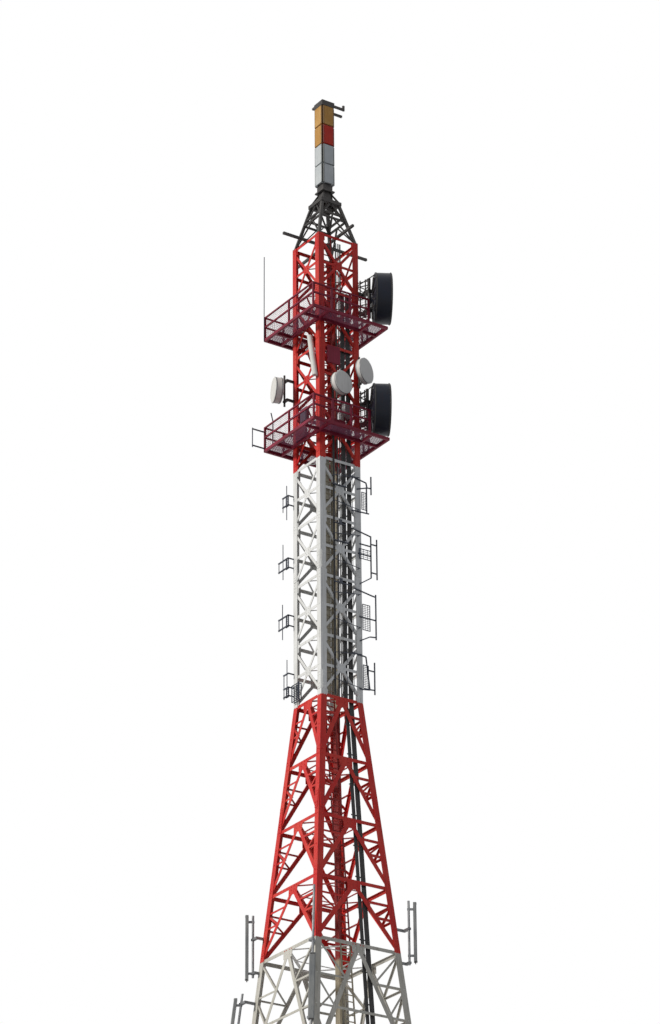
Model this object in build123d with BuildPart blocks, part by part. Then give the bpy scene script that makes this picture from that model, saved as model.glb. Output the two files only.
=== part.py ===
from build123d import *
from math import atan2, cos, hypot, radians, sin
import os

os.makedirs("parts", exist_ok=True)

# A square lattice mast on a spreading lattice foot, with two railed platforms, dishes and a panel
# aerial column on top. It is a scale model at 1:2 of a tower about 66 m tall. Millimetres, +Z up.
# Sizes and places below are taken from the tower's axis, and finish() then moves each piece so that
# the origin lies under the middle of the front left footing.

# Footings
plate_side = 480
plate_thick = 40
anchor_hole = 36
anchor_pitch = 350

# Main frame
mast_side = 1100
base_side = 4290
bay = 1448
band_bays = 4
foot_bays = 12
mast_bays = 8

# Legs and bars
leg_flange = 150
leg_thick = 16
bar_thick = 8
lip_depth = 46
bar_end_gap = 10
mast_strut = 66
mast_diagonal = 62
taper_strut = 80
taper_arm = 96
sub_bar = 44
arm_drop = 60
arm_reach = 0.95

seat_gap = 0.3

knee = foot_bays * bay
mast_top = (foot_bays + mast_bays) * bay
slope = (base_side - mast_side) / 2 / knee
plate_centre = (base_side - leg_flange) / 2


corners = [(-1, -1), (1, -1), (1, 1), (-1, 1)]
sides = {"front": 0, "right": 90, "back": 180, "left": 270}


def half_side(z):
    return mast_side / 2 + max(0, knee - z) * slope


# Helpers for the flat sides

def finish(part, name):
    placed = Location((plate_centre, plate_centre, 0)) * part
    placed.label = name
    export_step(placed, f"parts/{name}.step")


def side_plane(z_low, z_high):
    """the plane of the inner face of the leg flanges on the front, normal outwards, up the slope"""
    inner_low = half_side(z_low) - leg_thick
    inner_high = half_side(z_high) - leg_thick
    lean = atan2(inner_low - inner_high, z_high - z_low)
    return Plane(origin=(0, -inner_low, z_low), x_dir=(1, 0, 0), z_dir=(0, -cos(lean), sin(lean))), cos(lean)


def strip(a, b, width, shift=0.0):
    """the four corners of a straight bar from a to b, moved sideways by shift"""
    run = hypot(b[0] - a[0], b[1] - a[1])
    ux, uy = (b[0] - a[0]) / run, (b[1] - a[1]) / run
    low, high = shift - width / 2, shift + width / 2
    return [(a[0] - uy * low, a[1] + ux * low), (b[0] - uy * low, b[1] + ux * low),
            (b[0] - uy * high, b[1] + ux * high), (a[0] - uy * high, a[1] + ux * high)]


def fill(corners, mode=Mode.ADD):
    Polygon(*corners, align=None, mode=mode)


def fill_box(x0, y0, x1, y1):
    with Locations(((x0 + x1) / 2, (y0 + y1) / 2)):
        Rectangle(abs(x1 - x0), abs(y1 - y0))


def post(x, y, radius, low, high):
    with BuildSketch(Plane.XY.offset(low)) as end:
        with Locations((x, y)):
            Circle(radius)
    return extrude(end.sketch, amount=high - low)


def lattice_sides(band, z_low, z_high, joint, bars, plates):
    """four flat sides, the front one turned to each of the others

    Bars are (a, b, width) and plates are outlines, both as (across, height above z_low). The side starts
    at the height joint, on the strut that ends the band below."""
    plane, lean = side_plane(z_low, z_high)
    top = (z_high - z_low) / lean
    edge_low = half_side(z_low) - leg_thick - bar_end_gap
    edge_high = half_side(z_high) - leg_thick - bar_end_gap
    over = 200
    inward = lean * (half_side(z_low) - half_side(z_high)) / (z_high - z_low)
    narrow = over * inward
    edge_joint = edge_low - joint * inward
    flat = [((ax, ay / lean), (bx, by / lean), width) for (ax, ay), (bx, by), width in bars]
    clear = lip_depth + bar_end_gap
    with BuildPart() as lattice:
        with BuildSketch(plane):
            for a, b, width in flat:
                fill(strip(a, b, width))
            for outline in plates:
                fill([(x, y / lean) for x, y in outline])
            fill([(-edge_joint, joint), (edge_joint, joint), (edge_high, top), (edge_high - narrow, top + over),
                  (-edge_high + narrow, top + over), (-edge_high, top)], mode=Mode.INTERSECT)
        extrude(amount=-bar_thick)
        with BuildSketch(plane.offset(-bar_thick / 2)):
            for a, b, width in flat:
                fill(strip(a, b, bar_thick, (width - bar_thick) / 2))
            fill([(-edge_joint + clear, joint), (edge_joint - clear, joint), (edge_high - clear, top),
                  (edge_high - clear - narrow, top + over), (-edge_high + clear + narrow, top + over),
                  (-edge_high + clear, top)], mode=Mode.INTERSECT)
        extrude(amount=-(lip_depth - bar_thick / 2))
    for side, turn in sides.items():
        finish(lattice.part.rotate(Axis.Z, turn), f"{band}_{side}_lattice")


def band_legs(name, z_low, z_high):
    """four leg angles with their heels outwards, leaning with the slope"""
    h0, h1 = half_side(z_low), half_side(z_high)
    with BuildPart() as legs:
        for sx, sy in corners:
            rise = Vector(sx * (h1 - h0), sy * (h1 - h0), z_high - z_low)
            with BuildSketch(Plane.XY.offset(z_low)):
                with BuildLine():
                    Polyline((sx * h0, sy * h0), (sx * (h0 - leg_flange), sy * h0),
                             (sx * (h0 - leg_flange), sy * (h0 - leg_thick)),
                             (sx * (h0 - leg_thick), sy * (h0 - leg_thick)),
                             (sx * (h0 - leg_thick), sy * (h0 - leg_flange)),
                             (sx * h0, sy * (h0 - leg_flange)), close=True)
                make_face()
            extrude(amount=rise.length, dir=rise.normalized())
    finish(legs.part, name)


# Mast sides: a cross in each bay, with a strut through its middle and one at the bay's top
gusset = 110


def mast_bars(count):
    bars, plates = [], []
    edge = mast_side / 2 - leg_thick
    for k in range(count):
        z0 = k * bay
        low, high, mid = z0 + arm_drop, z0 + bay - arm_drop, z0 + bay / 2
        bars += [((-edge, low), (edge, high), mast_diagonal), ((edge, low), (-edge, high), mast_diagonal)]
        bars += [((-edge, mid), (edge, mid), mast_strut), ((-edge, z0 + bay), (edge, z0 + bay), mast_strut)]
        plates.append([(-gusset, mid - gusset), (gusset, mid - gusset),
                       (gusset, mid + gusset), (-gusset, mid + gusset)])
        for s in (-1, 1):
            for z in (z0, z0 + bay):
                lo, hi = max(z - gusset * 1.3, 0), min(z + gusset * 1.3, count * bay + mast_strut / 2)
                plates.append([(s * edge, lo), (s * (edge - gusset * 1.5), lo),
                               (s * (edge - gusset * 1.5), hi), (s * edge, hi)])
    return bars, plates


# Taper sides: bars spread from the middle of each strut down to the legs, with finer bars beside them
def taper_bars(z_low, z_high, panel):
    bars, plates = [], []
    count = round((z_high - z_low) / panel)
    for k in range(count):
        z1 = z_high - (count - 1 - k) * panel
        inner = leg_thick
        top = half_side(z1) - inner
        foot_z = z1 - panel * arm_reach
        foot = half_side(foot_z) - inner - leg_flange / 3
        start = z1 - arm_drop
        bars.append(((-top, z1 - z_low), (top, z1 - z_low), taper_strut))
        for s in (-1, 1):
            ends = [(0, start - z_low), (s * foot, foot_z - z_low)][::s]
            bars.append((*ends, taper_arm))
            shares = (0.27, 0.5) if panel < 1.5 * bay else (0.28, 0.52, 0.76)
            posts = []
            for share in shares:
                z = z1 - panel * share
                arm_x = foot * (start - z) / (start - foot_z)
                posts.append((s * (half_side(z) - inner), s * arm_x, z - z_low))
                bars.append(((s * (half_side(z) - inner), z - z_low), (s * arm_x, z - z_low), sub_bar))
            if panel < 1.5 * bay:
                bars.append(((posts[0][0], posts[0][2]), (posts[1][1], posts[1][2]), sub_bar))
            else:
                bars.append(((s * top, z1 - z_low), (posts[0][1], posts[0][2]), sub_bar))
                bars.append(((posts[0][0], posts[0][2]), (posts[1][1], posts[1][2]), sub_bar))
                bars.append(((posts[1][0], posts[1][2]), (posts[2][1], posts[2][2]), sub_bar))
        if panel > 1.5 * bay:
            tie_z = z1 - panel * 0.52
            tie_x = foot * (start - tie_z) / (start - foot_z)
            bars.append(((-tie_x, tie_z - z_low), (tie_x, tie_z - z_low), sub_bar * 1.3))
        wide, high = gusset * 1.6, gusset * 1.7
        plates.append([(-wide, z1 - z_low + taper_strut / 2), (wide, z1 - z_low + taper_strut / 2),
                       (wide * 0.9, z1 - z_low - high), (-wide * 0.9, z1 - z_low - high)])
    return bars, plates


bands = {"foot": (plate_thick, bay * band_bays, 2 * bay, 0.0),
         "lower": (bay * band_bays, bay * 2 * band_bays, 2 * bay, taper_strut / 2),
         "taper": (bay * 2 * band_bays, knee, bay, taper_strut / 2)}
for band, (z_low, z_high, panel, joint) in bands.items():
    band_legs(f"{band}_legs", z_low, z_high)
    bars, plates = taper_bars(z_low, z_high, panel)
    lattice_sides(band, z_low, z_high, joint, bars, plates)

frame_top = mast_top + mast_strut / 2
for band, first, joint in (("white_mast", foot_bays, taper_strut / 2 + seat_gap),
                           ("red_mast", foot_bays + band_bays, mast_strut / 2)):
    top = (first + band_bays) * bay
    band_legs(f"{band}_legs", first * bay, frame_top if top == mast_top else top)
    bars, plates = mast_bars(band_bays)
    lattice_sides(band, first * bay, top, joint, bars, plates)


# Footings: one plate under each leg, with four anchor holes
with BuildPart() as footings:
    with BuildSketch():
        for sx, sy in corners:
            with Locations((sx * plate_centre, sy * plate_centre)):
                Rectangle(plate_side, plate_side)
                with GridLocations(anchor_pitch, anchor_pitch, 2, 2):
                    Circle(anchor_hole / 2, mode=Mode.SUBTRACT)
    extrude(amount=plate_thick)
finish(footings.part, "footings")

# Level frames: a flat diamond between the middles of the four struts at a level
frame_bar = 70


def level_frames(name, levels):
    with BuildPart() as frames:
        for level in levels:
            z = level * bay
            top = z + bar_thick / 2
            inner = leg_thick + bar_thick / side_plane(z - bay, z)[1]
            reach = half_side(z) - slope * bar_thick / 2 - inner - seat_gap
            with BuildSketch(Plane.XY.offset(top)):
                for turn in sides.values():
                    start, end = (Vector(0, -reach).rotate(Axis.Z, turn), Vector(reach, 0).rotate(Axis.Z, turn))
                    fill(strip((start.X, start.Y), (end.X, end.Y), frame_bar))
                    half = [Vector(reach / 2, -reach / 2).rotate(Axis.Z, turn),
                            Vector(reach / 2, reach / 2).rotate(Axis.Z, turn)]
                    fill(strip((half[0].X, half[0].Y), (half[1].X, half[1].Y), sub_bar))
                Rectangle(2 * reach, 2 * reach, mode=Mode.INTERSECT)
            extrude(amount=-bar_thick)
    finish(frames.part, name)


level_frames("red_level_frames", (2, 4, 9, 10, 11, 12))
level_frames("white_level_frames", (6, 8))

# Spire between the mast and the aerial column
spire_foot = 500
spire_head = 237
spire_height = 1108
spire_leg = 66
spire_bar = 42
spire_brace = 34
spire_ring = 640
spire_floor = 780
head_beam = 90
spire_plate = 14
spire_top = mast_top + spire_height


def spire_half(rise):
    return spire_foot + (spire_head - spire_foot) * rise / spire_height


def slanted(foot, top, wide, deep=None):
    """a straight bar with level ends between two heights"""
    way = Vector(*top) - Vector(*foot)
    with BuildSketch(Plane.XY.offset(foot[2])) as end:
        with Locations((foot[0], foot[1])):
            Rectangle(wide, deep or wide)
    return extrude(end.sketch, amount=way.length, dir=way.normalized())


def turned(point, turn):
    p = Vector(*point).rotate(Axis.Z, turn)
    return (p.X, p.Y, p.Z)


spire_low = frame_top + spire_plate
with BuildPart() as spire:
    with BuildSketch(Plane.XY.offset(frame_top)):
        for sx, sy in corners:
            with Locations((sx * spire_foot, sy * spire_foot)):
                Rectangle(mast_side - 2 * spire_foot, mast_side - 2 * spire_foot)
    extrude(amount=spire_plate)
    for turn in sides.values():
        add(slanted(turned((-spire_foot, -spire_foot, spire_low), turn),
                    turned((-spire_head, -spire_head, spire_top), turn), spire_leg))
        h = spire_half(spire_ring)
        for s in (-1, 1):
            add(slanted(turned((s * spire_foot, -spire_foot, spire_low), turn),
                        turned((s * spire_bar / 2, -h, mast_top + spire_ring), turn), spire_brace))
            add(slanted(turned((s * h, -h, mast_top + spire_ring), turn),
                        turned((s * spire_bar / 2, -spire_head, spire_top), turn), spire_brace))
    for rise in (spire_ring, spire_floor):
        h = spire_half(rise)
        with BuildSketch(Plane.XY.offset(mast_top + rise)):
            Rectangle(2 * h + spire_bar, 2 * h + spire_bar)
            Rectangle(2 * h - spire_bar, 2 * h - spire_bar, mode=Mode.SUBTRACT)
        extrude(amount=spire_bar)
    with BuildSketch(Plane.XY.offset(spire_top)):
        Rectangle(2 * spire_head + head_beam, 2 * spire_head + head_beam)
        Rectangle(2 * spire_head - head_beam, 2 * spire_head - head_beam, mode=Mode.SUBTRACT)
        Rectangle(2 * spire_head, head_beam)
        Rectangle(head_beam, 2 * spire_head)
    extrude(amount=head_beam)
finish(spire.part, "spire")

# Neck on the spire's head frame, with the flange under the aerial column
neck_side = 210
neck_height = 290
neck_flange = 340
flange_thick = 34
neck_low = spire_top + head_beam
neck_top = neck_low + neck_height
with BuildPart() as neck:
    with BuildSketch(Plane.XY.offset(neck_low)):
        Rectangle(neck_side * 1.5, neck_side * 1.5)
    with BuildSketch(Plane.XY.offset(neck_top)):
        Rectangle(neck_side, neck_side)
    loft()
    with BuildSketch(Plane.XY.offset(neck_top)):
        Rectangle(neck_flange, neck_flange)
    extrude(amount=flange_thick)
    for sx, sy in corners:
        add(slanted((sx * spire_head, sy * spire_head, neck_low),
                    (sx * neck_side / 2.4, sy * neck_side / 2.4, neck_top), spire_bar))
finish(neck.part, "neck")

# Aerial column: four tiers of four panels round a square core
core_side = 210
core_box = 262
box_height = 165
tier_pitch = 536
tier_gap = 38
tier_count = 4
panel_reach = 185
# the panels' rounded edges, as (in from the side, back from the front)
panel_round = ((35, 23), (35, 10), (39, 3), (48, 0))
panel_root = 12
cap_side = 350
cap_thick = 140
column_low = neck_top + flange_thick
tiers_low = column_low + box_height
tiers_top = tiers_low + tier_count * tier_pitch
with BuildPart() as core:
    with BuildSketch(Plane.XY.offset(column_low)):
        Rectangle(core_box, core_box)
    extrude(amount=box_height)
    with BuildSketch(Plane.XY.offset(tiers_low)):
        Rectangle(core_side, core_side)
    extrude(amount=tier_count * tier_pitch)
    with BuildSketch(Plane.XY.offset(tiers_top)):
        Rectangle(cap_side, cap_side)
    extrude(amount=cap_thick)
finish(core.part, "aerial_core")


def panel_tiers(name, tiers):
    half = core_side / 2
    edge = [(-half + panel_root, -half)] + [(x - panel_reach, y - panel_reach) for x, y in panel_round]
    outline = edge + [(-x, y) for x, y in reversed(edge)]
    with BuildPart() as panels:
        for tier in tiers:
            with BuildSketch(Plane.XY.offset(tiers_low + tier * tier_pitch + tier_gap / 2)):
                for turn in sides.values():
                    points = [Vector(x, y).rotate(Axis.Z, turn) for x, y in outline]
                    fill([(p.X, p.Y) for p in points])
            extrude(amount=tier_pitch - tier_gap)
    finish(panels.part, name)


panel_tiers("ochre_panels", (3,))
panel_tiers("red_panels", (2,))
panel_tiers("white_panels", (0, 1))

# Lamp arm on the cap, a short one behind it and a bare one on the right panel of the top tier
lamp_reach = 470
lamp_y = -120
lamp_bar = 50
lamp_radius = 32
lamp_height = 130
lamp_low = tiers_top + 58
bare_arm_y = -60
bare_arm_reach = 460
bare_arm_drop = 110
back_arm = 90
with BuildPart() as lamp_arms:
    with BuildSketch(Plane.XY.offset(lamp_low)):
        fill_box(cap_side / 2, lamp_y - lamp_bar / 2, lamp_reach, lamp_y + lamp_bar / 2)
        fill_box(-cap_side / 2, cap_side / 2, -cap_side / 2 + lamp_bar, cap_side / 2 + back_arm)
    extrude(amount=lamp_bar)
    with BuildSketch(Plane.XY.offset(lamp_low)):
        with Locations((lamp_reach, lamp_y)):
            Circle(lamp_radius)
    extrude(amount=lamp_height)
    with BuildSketch(Plane.XY.offset(tiers_top - bare_arm_drop)):
        fill_box(panel_reach + seat_gap, bare_arm_y - lamp_bar / 2, bare_arm_reach, bare_arm_y + lamp_bar / 2)
    extrude(amount=lamp_bar)
finish(lamp_arms.part, "lamp_arms")

# Two crossed beams on top of the mast, each sticking out at both ends
outrigger_reach = 1170
outrigger_bar = 56
with BuildPart() as outriggers:
    with BuildSketch(Plane.XY.offset(frame_top)):
        Rectangle(2 * outrigger_reach, outrigger_bar)
        Rectangle(outrigger_bar, 2 * outrigger_reach)
    extrude(amount=outrigger_bar)
finish(outriggers.part, "outriggers")

# Platforms round the mast, each with a floor frame, an open floor and a railing
deck_side = 2070
deck_beam = 50
deck_height = 70
joist = 45
floor_thick = 10
upper_deck = 26720
lower_deck = 23850
rail_height = 571
rail_bar = 34
post_bar = 40
posts_per_side = 5
rail_stop_front = 507
rail_stop_right = -220
deck_edge = deck_side / 2
shaft_edge = mast_side / 2


def platform(name, z):
    with BuildPart() as deck:
        with BuildSketch(Plane.XY.offset(z - deck_height)):
            Rectangle(deck_side, deck_side)
            Rectangle(deck_side - 2 * deck_beam, deck_side - 2 * deck_beam, mode=Mode.SUBTRACT)
            for s in (-1, 1):
                with Locations((0, s * (shaft_edge + joist / 2))):
                    Rectangle(deck_side, joist)
                with Locations((s * (shaft_edge + joist / 2), 0)):
                    Rectangle(joist, deck_side)
        extrude(amount=deck_height)
    finish(deck.part, f"{name}_deck")
    with BuildPart() as floor:
        with BuildSketch(Plane.XY.offset(z)):
            Rectangle(deck_side - 2 * post_bar - 4, deck_side - 2 * post_bar - 4)
            Rectangle(mast_side + 20, mast_side + 20, mode=Mode.SUBTRACT)
        extrude(amount=floor_thick)
    finish(floor.part, f"{name}_floor")
    line = deck_edge - post_bar / 2
    pitch = 2 * line / (posts_per_side - 1)
    with BuildPart() as railing:
        with BuildSketch(Plane.XY.offset(z)):
            for k in range(posts_per_side):
                spot = -line + k * pitch
                for place in ((spot, line), (-line, spot))[:1 if k % 2 else 2]:
                    with Locations(place):
                        Rectangle(post_bar, post_bar)
            for place in ((-line + pitch, -line), (-line + 2 * pitch, -line), (rail_stop_front, -line),
                          (line, line - pitch), (line, line - 2 * pitch), (line, rail_stop_right)):
                with Locations(place):
                    Rectangle(post_bar, post_bar)
        extrude(amount=rail_height)
        for rise in (rail_height - rail_bar, rail_height * 0.5):
            with BuildSketch(Plane.XY.offset(z + rise)):
                Rectangle(deck_side, deck_side)
                Rectangle(deck_side - 2 * rail_bar, deck_side - 2 * rail_bar, mode=Mode.SUBTRACT)
                fill([(rail_stop_front, -deck_edge - 1), (deck_edge + 1, -deck_edge - 1),
                      (deck_edge + 1, rail_stop_right), (0, rail_stop_right), (rail_stop_front, 0)],
                     mode=Mode.SUBTRACT)
            extrude(amount=rail_bar)
    finish(railing.part, f"{name}_railing")


platform("upper", upper_deck)
platform("lower", lower_deck)


# Dishes: a shallow back, a round shroud and a slightly domed front, turned about its own axis
def dish(name, face, aim, radius, depth, hub, shoulder):
    """face is the middle of the front, aim the compass angle it looks to, from +X towards +Y"""
    way = Vector(cos(radians(aim)), sin(radians(aim)), 0)
    origin = Vector(*face) - way * depth
    with BuildPart() as body:
        with BuildSketch(Plane.XZ):
            with BuildLine():
                Polyline((0, -hub), (radius * 0.2, -hub), (radius * 0.24, 0), (radius * 0.96, shoulder * 0.85),
                         (radius, shoulder), (radius, depth - 8), (radius - 8, depth), (0, depth),
                         close=True)
            make_face()
        revolve(axis=Axis.Z)
    finish(Plane(origin=origin, x_dir=(0, 0, 1), z_dir=way).location * body.part, name)
    return origin - way * hub


def bracket(foot, pole, low, high, reach, width=50, grip=6):
    """a level bracket from the leg corner at foot to a pole, cut to touch the leg's face

    foot is the corner's (x, y) signs and reach the half side there; pole is (x, y, radius)."""
    sx, sy = foot
    x, y, radius = pole
    with BuildSketch(Plane.XY.offset(low)) as outline:
        if abs(x) - radius > reach:
            edge = sy * (reach - width - 6)
            fill_box(sx * reach, edge, x + sx * (radius + grip), edge + sy * width)
            fill_box(x - sx * (radius + grip), edge, x + sx * (radius + grip), y + sy * (radius + grip))
        else:
            edge = sx * (reach - width - 6)
            fill_box(edge, sy * reach, edge + sx * width, y + sy * (radius + grip))
            fill_box(edge, y - sy * (radius + grip), x + sx * (radius + grip), y + sy * (radius + grip))
    return extrude(outline.sketch, amount=high - low)


drum_radius = 600
drum_depth = 440
drum_aim = -30
dish_radius = 300
drum_hub = 30
drum_shoulder = 46
dish_shoulder = 34
dish_hub = 22
drum_pipe = 38
dish_pipe = 24
pipe_half = 520
dish_pipe_half = 400

drum_arms = (-360, 140)
drum_arm = 90
dish_arms = (-300, 200)
dish_arm = 50
short_arm = 30

drum_faces = {"upper": (1147, -1013, 27492), "lower": (1080, -985, 24590)}
left_face, left_aim, left_depth = (-975, 731, 25276), 160, 220
right_face, right_aim, right_depth = (581, -818, 25540), -65, 160
middle_face, middle_aim, middle_radius, middle_depth = (-66, -828, 25062), -79, 275, 185
middle_strut, middle_pipe = 17.5 * bay, 330
small_face, small_aim, small_radius, small_depth = (123, -749, 24410), -64, 180, 110
small_strut, small_pipe = 17 * bay, 230
with BuildPart() as dish_mounts:
    for name, face in drum_faces.items():
        back = dish(f"{name}_drum", face, drum_aim, drum_radius, drum_depth, drum_hub, drum_shoulder)
        spot = back - Vector(1, 0, 0).rotate(Axis.Z, drum_aim) * (drum_pipe + seat_gap)
        z = face[2]
        add(post(spot.X, spot.Y, drum_pipe, z - pipe_half, z + pipe_half))
        for rise in drum_arms:
            add(bracket((1, -1), (spot.X, spot.Y, drum_pipe), z + rise, z + rise + drum_arm, shaft_edge))
    for name, face, aim, depth, foot in (("left", left_face, left_aim, left_depth, (-1, 1)),
                                         ("right", right_face, right_aim, right_depth, (1, -1))):
        back = dish(f"{name}_dish", face, aim, dish_radius, depth, dish_hub, dish_shoulder)
        spot = back - Vector(1, 0, 0).rotate(Axis.Z, aim) * (dish_pipe + seat_gap)
        z = face[2]
        add(post(spot.X, spot.Y, dish_pipe, z - dish_pipe_half, z + dish_pipe_half))
        for rise in dish_arms:
            add(bracket(foot, (spot.X, spot.Y, dish_pipe), z + rise, z + rise + dish_arm, shaft_edge))
    for name, face, aim, radius, depth, pipe, arms in (
            ("middle", middle_face, middle_aim, middle_radius, middle_depth, middle_pipe,
             ((middle_strut - 25, middle_strut + 25), (middle_strut - 170, middle_strut - 120))),
            ("small", small_face, small_aim, small_radius, small_depth, small_pipe,
             ((small_strut - 24, small_strut + 24),))):
        back = dish(f"{name}_dish", face, aim, radius, depth, dish_hub, dish_shoulder)
        spot = back - Vector(1, 0, 0).rotate(Axis.Z, aim) * (dish_pipe + seat_gap)
        z = face[2]
        add(post(spot.X, spot.Y, dish_pipe, z - pipe, z + pipe))
        for low, high in arms:
            with BuildSketch(Plane.XY.offset(low)) as outline:
                fill_box(spot.X - short_arm, spot.Y, spot.X + short_arm, -(shaft_edge - leg_thick))
            add(extrude(outline.sketch, amount=high - low))
finish(dish_mounts.part, "dish_mounts")

# Ladder on the inside of the front face, behind the lips of its bars
ladder_left = -423
ladder_width = 266
ladder_bar = 26
rung_pitch = 150
rung_bar = 16
ladder_gap = 60
with BuildPart() as ladder:
    for low, high in ((plate_thick, knee - ladder_gap), (knee + ladder_gap, mast_top)):
        plane, lean = side_plane(low, high)
        plane = plane.offset(-lip_depth)
        length = (high - low) / lean
        with BuildSketch(plane):
            fill_box(ladder_left, 0, ladder_left + ladder_bar, length)
            fill_box(ladder_left + ladder_width - ladder_bar, 0, ladder_left + ladder_width, length)
            for k in range(int(length / rung_pitch)):
                y = (k + 0.5) * rung_pitch
                fill_box(ladder_left, y, ladder_left + ladder_width, y + rung_bar)
        extrude(amount=-ladder_bar)
finish(ladder.part, "ladder")

# Feeder cables in two bunches behind the front face's bars, up to the upper platform, and three thin ones
# on the outside of the mast's front face
cable_radius = 14
cable_places = (126, 157, 188, 240, 271, 302, 333)
cable_top = 27600
front_count = 3
front_radius = 7.5
front_pitch = 18
front_x = -192
front_top = 25350
lean = side_plane(plate_thick, knee)[1]
cable_inset = leg_thick + (lip_depth + cable_radius + seat_gap) / lean
bend_z = knee + taper_strut / 2
y_low = -(half_side(plate_thick) - cable_inset)
y_bend = -(mast_side / 2 - slope * taper_strut / 2 - cable_inset)
cable_way = Vector(0, y_bend - y_low, bend_z - plate_thick)
with BuildPart() as cables:
    for x in cable_places:
        with BuildSketch(Plane.XY.offset(plate_thick)) as end:
            with Locations((x, y_low)):
                Circle(cable_radius)
        add(extrude(end.sketch, amount=cable_way.length, dir=cable_way.normalized()))
        add(post(x, y_bend, cable_radius, bend_z, cable_top))
    for k in range(front_count):
        add(post(front_x + k * front_pitch, -(mast_side / 2 - leg_thick + front_radius + seat_gap), front_radius,
                 knee + ladder_gap, front_top))
finish(cables.part, "feeder_cables")

# Riser straight up the inside of the tower: a rung tray with five cables, held by the frame at the knee
riser_back = half_side(knee) - slope * bar_thick / 2 - leg_thick - bar_thick - seat_gap
riser_face = riser_back / 2 - sub_bar / 2 - seat_gap
riser_deep = 34
riser_half = 100
riser_rail = 16
riser_rung_pitch = 300
riser_count = 5
riser_pitch = 36
riser_radius = 13
with BuildPart() as riser:
    with BuildSketch():
        for s in (-1, 1):
            fill_box(riser_face - riser_deep, s * (riser_half - riser_rail), riser_face, s * riser_half)
    extrude(amount=upper_deck)
    for k in range(int(upper_deck / riser_rung_pitch)):
        with BuildSketch(Plane.XY.offset((k + 0.5) * riser_rung_pitch)):
            fill_box(riser_face - riser_deep, -riser_half, riser_face - riser_deep + riser_rail, riser_half)
        extrude(amount=riser_rail)
finish(riser.part, "riser_tray")
with BuildPart() as riser_cables:
    for k in range(riser_count):
        add(post(riser_face - riser_deep - riser_radius - seat_gap, (k - (riser_count - 1) / 2) * riser_pitch,
                 riser_radius, 0, upper_deck))
finish(riser_cables.part, "riser_cables")

# Slanted white tube against the left face
tube_radius = 64
tube_line = -(mast_side / 2 + tube_radius + seat_gap)
tube_foot = (tube_line, -466, 25236)
tube_head = (tube_line, -255, 26342)
with BuildPart() as tube:
    with BuildSketch(Plane.XY.offset(tube_foot[2])) as end:
        with Locations(tube_foot[:2]):
            Circle(tube_radius)
    way = Vector(*tube_head) - Vector(*tube_foot)
    add(extrude(end.sketch, amount=way.length, dir=way.normalized()))
finish(tube.part, "slanted_tube")

# Whip aerial at the upper platform's left corner and a boom aerial at the lower one's
whip_radius = 10
whip_top = 28897
boom_rod = 12
boom_x = -1353
boom_height = 470
boom_bar = 26
boom_inner = (-931, 805)
with BuildPart() as whips:
    add(post(-(deck_edge + whip_radius + seat_gap), deck_edge - 25, whip_radius, upper_deck - 60, whip_top))
    y = deck_edge - post_bar / 2
    add(post(boom_x, y, boom_rod, lower_deck - 20, lower_deck + boom_height))
    for low in (lower_deck + 10, lower_deck + boom_height - 40):
        with BuildSketch(Plane.XY.offset(low)) as outline:
            fill_box(boom_x, y - boom_bar / 2, -deck_edge, y + boom_bar / 2)
        add(extrude(outline.sketch, amount=boom_bar))
    add(post(*boom_inner, 14, lower_deck + floor_thick, 24500))
    add(slanted((*boom_inner, 24500), (-969, 830, 24726), 20))
finish(whips.part, "whip_aerials")

# Sector aerials on the legs, each a panel on a pole that two arms hold off a leg
sector_pole = 26
sector_wide = 130
sector_deep = 70
sector_cut = 16
sector_reach = 130
sector_arm = 50
sector_clamp = 40
sector_clamp_inset = 120


def sector_aerial(corner, top, aim, pole, panel, arms, lean=0):
    """the pole with its arms and clamps, and the panel

    top is the pole's place at its top, and pole and panel are (low, high). With lean 1 both follow the leg."""
    sx, sy = corner
    way = Vector(-sx * slope * lean, -sy * slope * lean, 1)
    look = Vector(1, 0, 0).rotate(Axis.Z, aim)

    def level(z):
        return Plane(origin=Vector(*top, pole[1]) + way * (z - pole[1]), x_dir=look, z_dir=(0, 0, 1))

    def rise(outline, height):
        return extrude(outline.sketch, amount=height * way.length, dir=way.normalized())

    with BuildSketch(level(pole[0])) as outline:
        Circle(sector_pole)
    solids = [rise(outline, pole[1] - pole[0])]
    for z in arms:
        spot = level(z).origin
        solids.append(bracket(corner, (spot.X, spot.Y, sector_pole), z, z + sector_arm, half_side(z) + seat_gap))
    for z in (panel[0] + sector_clamp_inset, panel[1] - sector_clamp_inset - sector_clamp):
        with BuildSketch(level(z)) as outline:
            fill_box(-sector_pole - 6, -24, sector_reach - sector_deep / 2 - seat_gap, 24)
        solids.append(rise(outline, sector_clamp))
    near, far, half = sector_reach - sector_deep / 2, sector_reach + sector_deep / 2, sector_wide / 2
    with BuildSketch(level(panel[0])) as outline:
        fill([(near, -half), (far - sector_cut, -half), (far, -half + sector_cut), (far, half - sector_cut),
              (far - sector_cut, half), (near, half)])
    return solids, rise(outline, panel[1] - panel[0])


sector_sets = (sector_aerial((-1, 1), (-1203, 1162), 146, (11262, 12652), (11219, 12653), (11328, 12087)),
               sector_aerial((1, -1), (1232, -1181), -34, (11328, 12756), (11394, 12710), (11351, 12107)),
               sector_aerial((-1, -1), (-1082, -1037), 236, (9500, 12722), (9621, 11109), (9700, 11442), 1),
               sector_aerial((-1, 1), (-1385, 1285), 146, (9310, 10909), (9365, 10799), (9480, 10660), 1))
with BuildPart() as sector_poles:
    for solids, _ in sector_sets:
        for solid in solids:
            add(solid)
finish(sector_poles.part, "sector_poles")
with BuildPart() as sector_panels:
    for _, panel in sector_sets:
        add(panel)
finish(sector_panels.part, "sector_panels")

# Side aerials on the white mast: rods off the left face, and flat frames off the front face's right leg
side_line = -700
side_rod = 10
side_arm = 24
side_plate = 18
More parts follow.
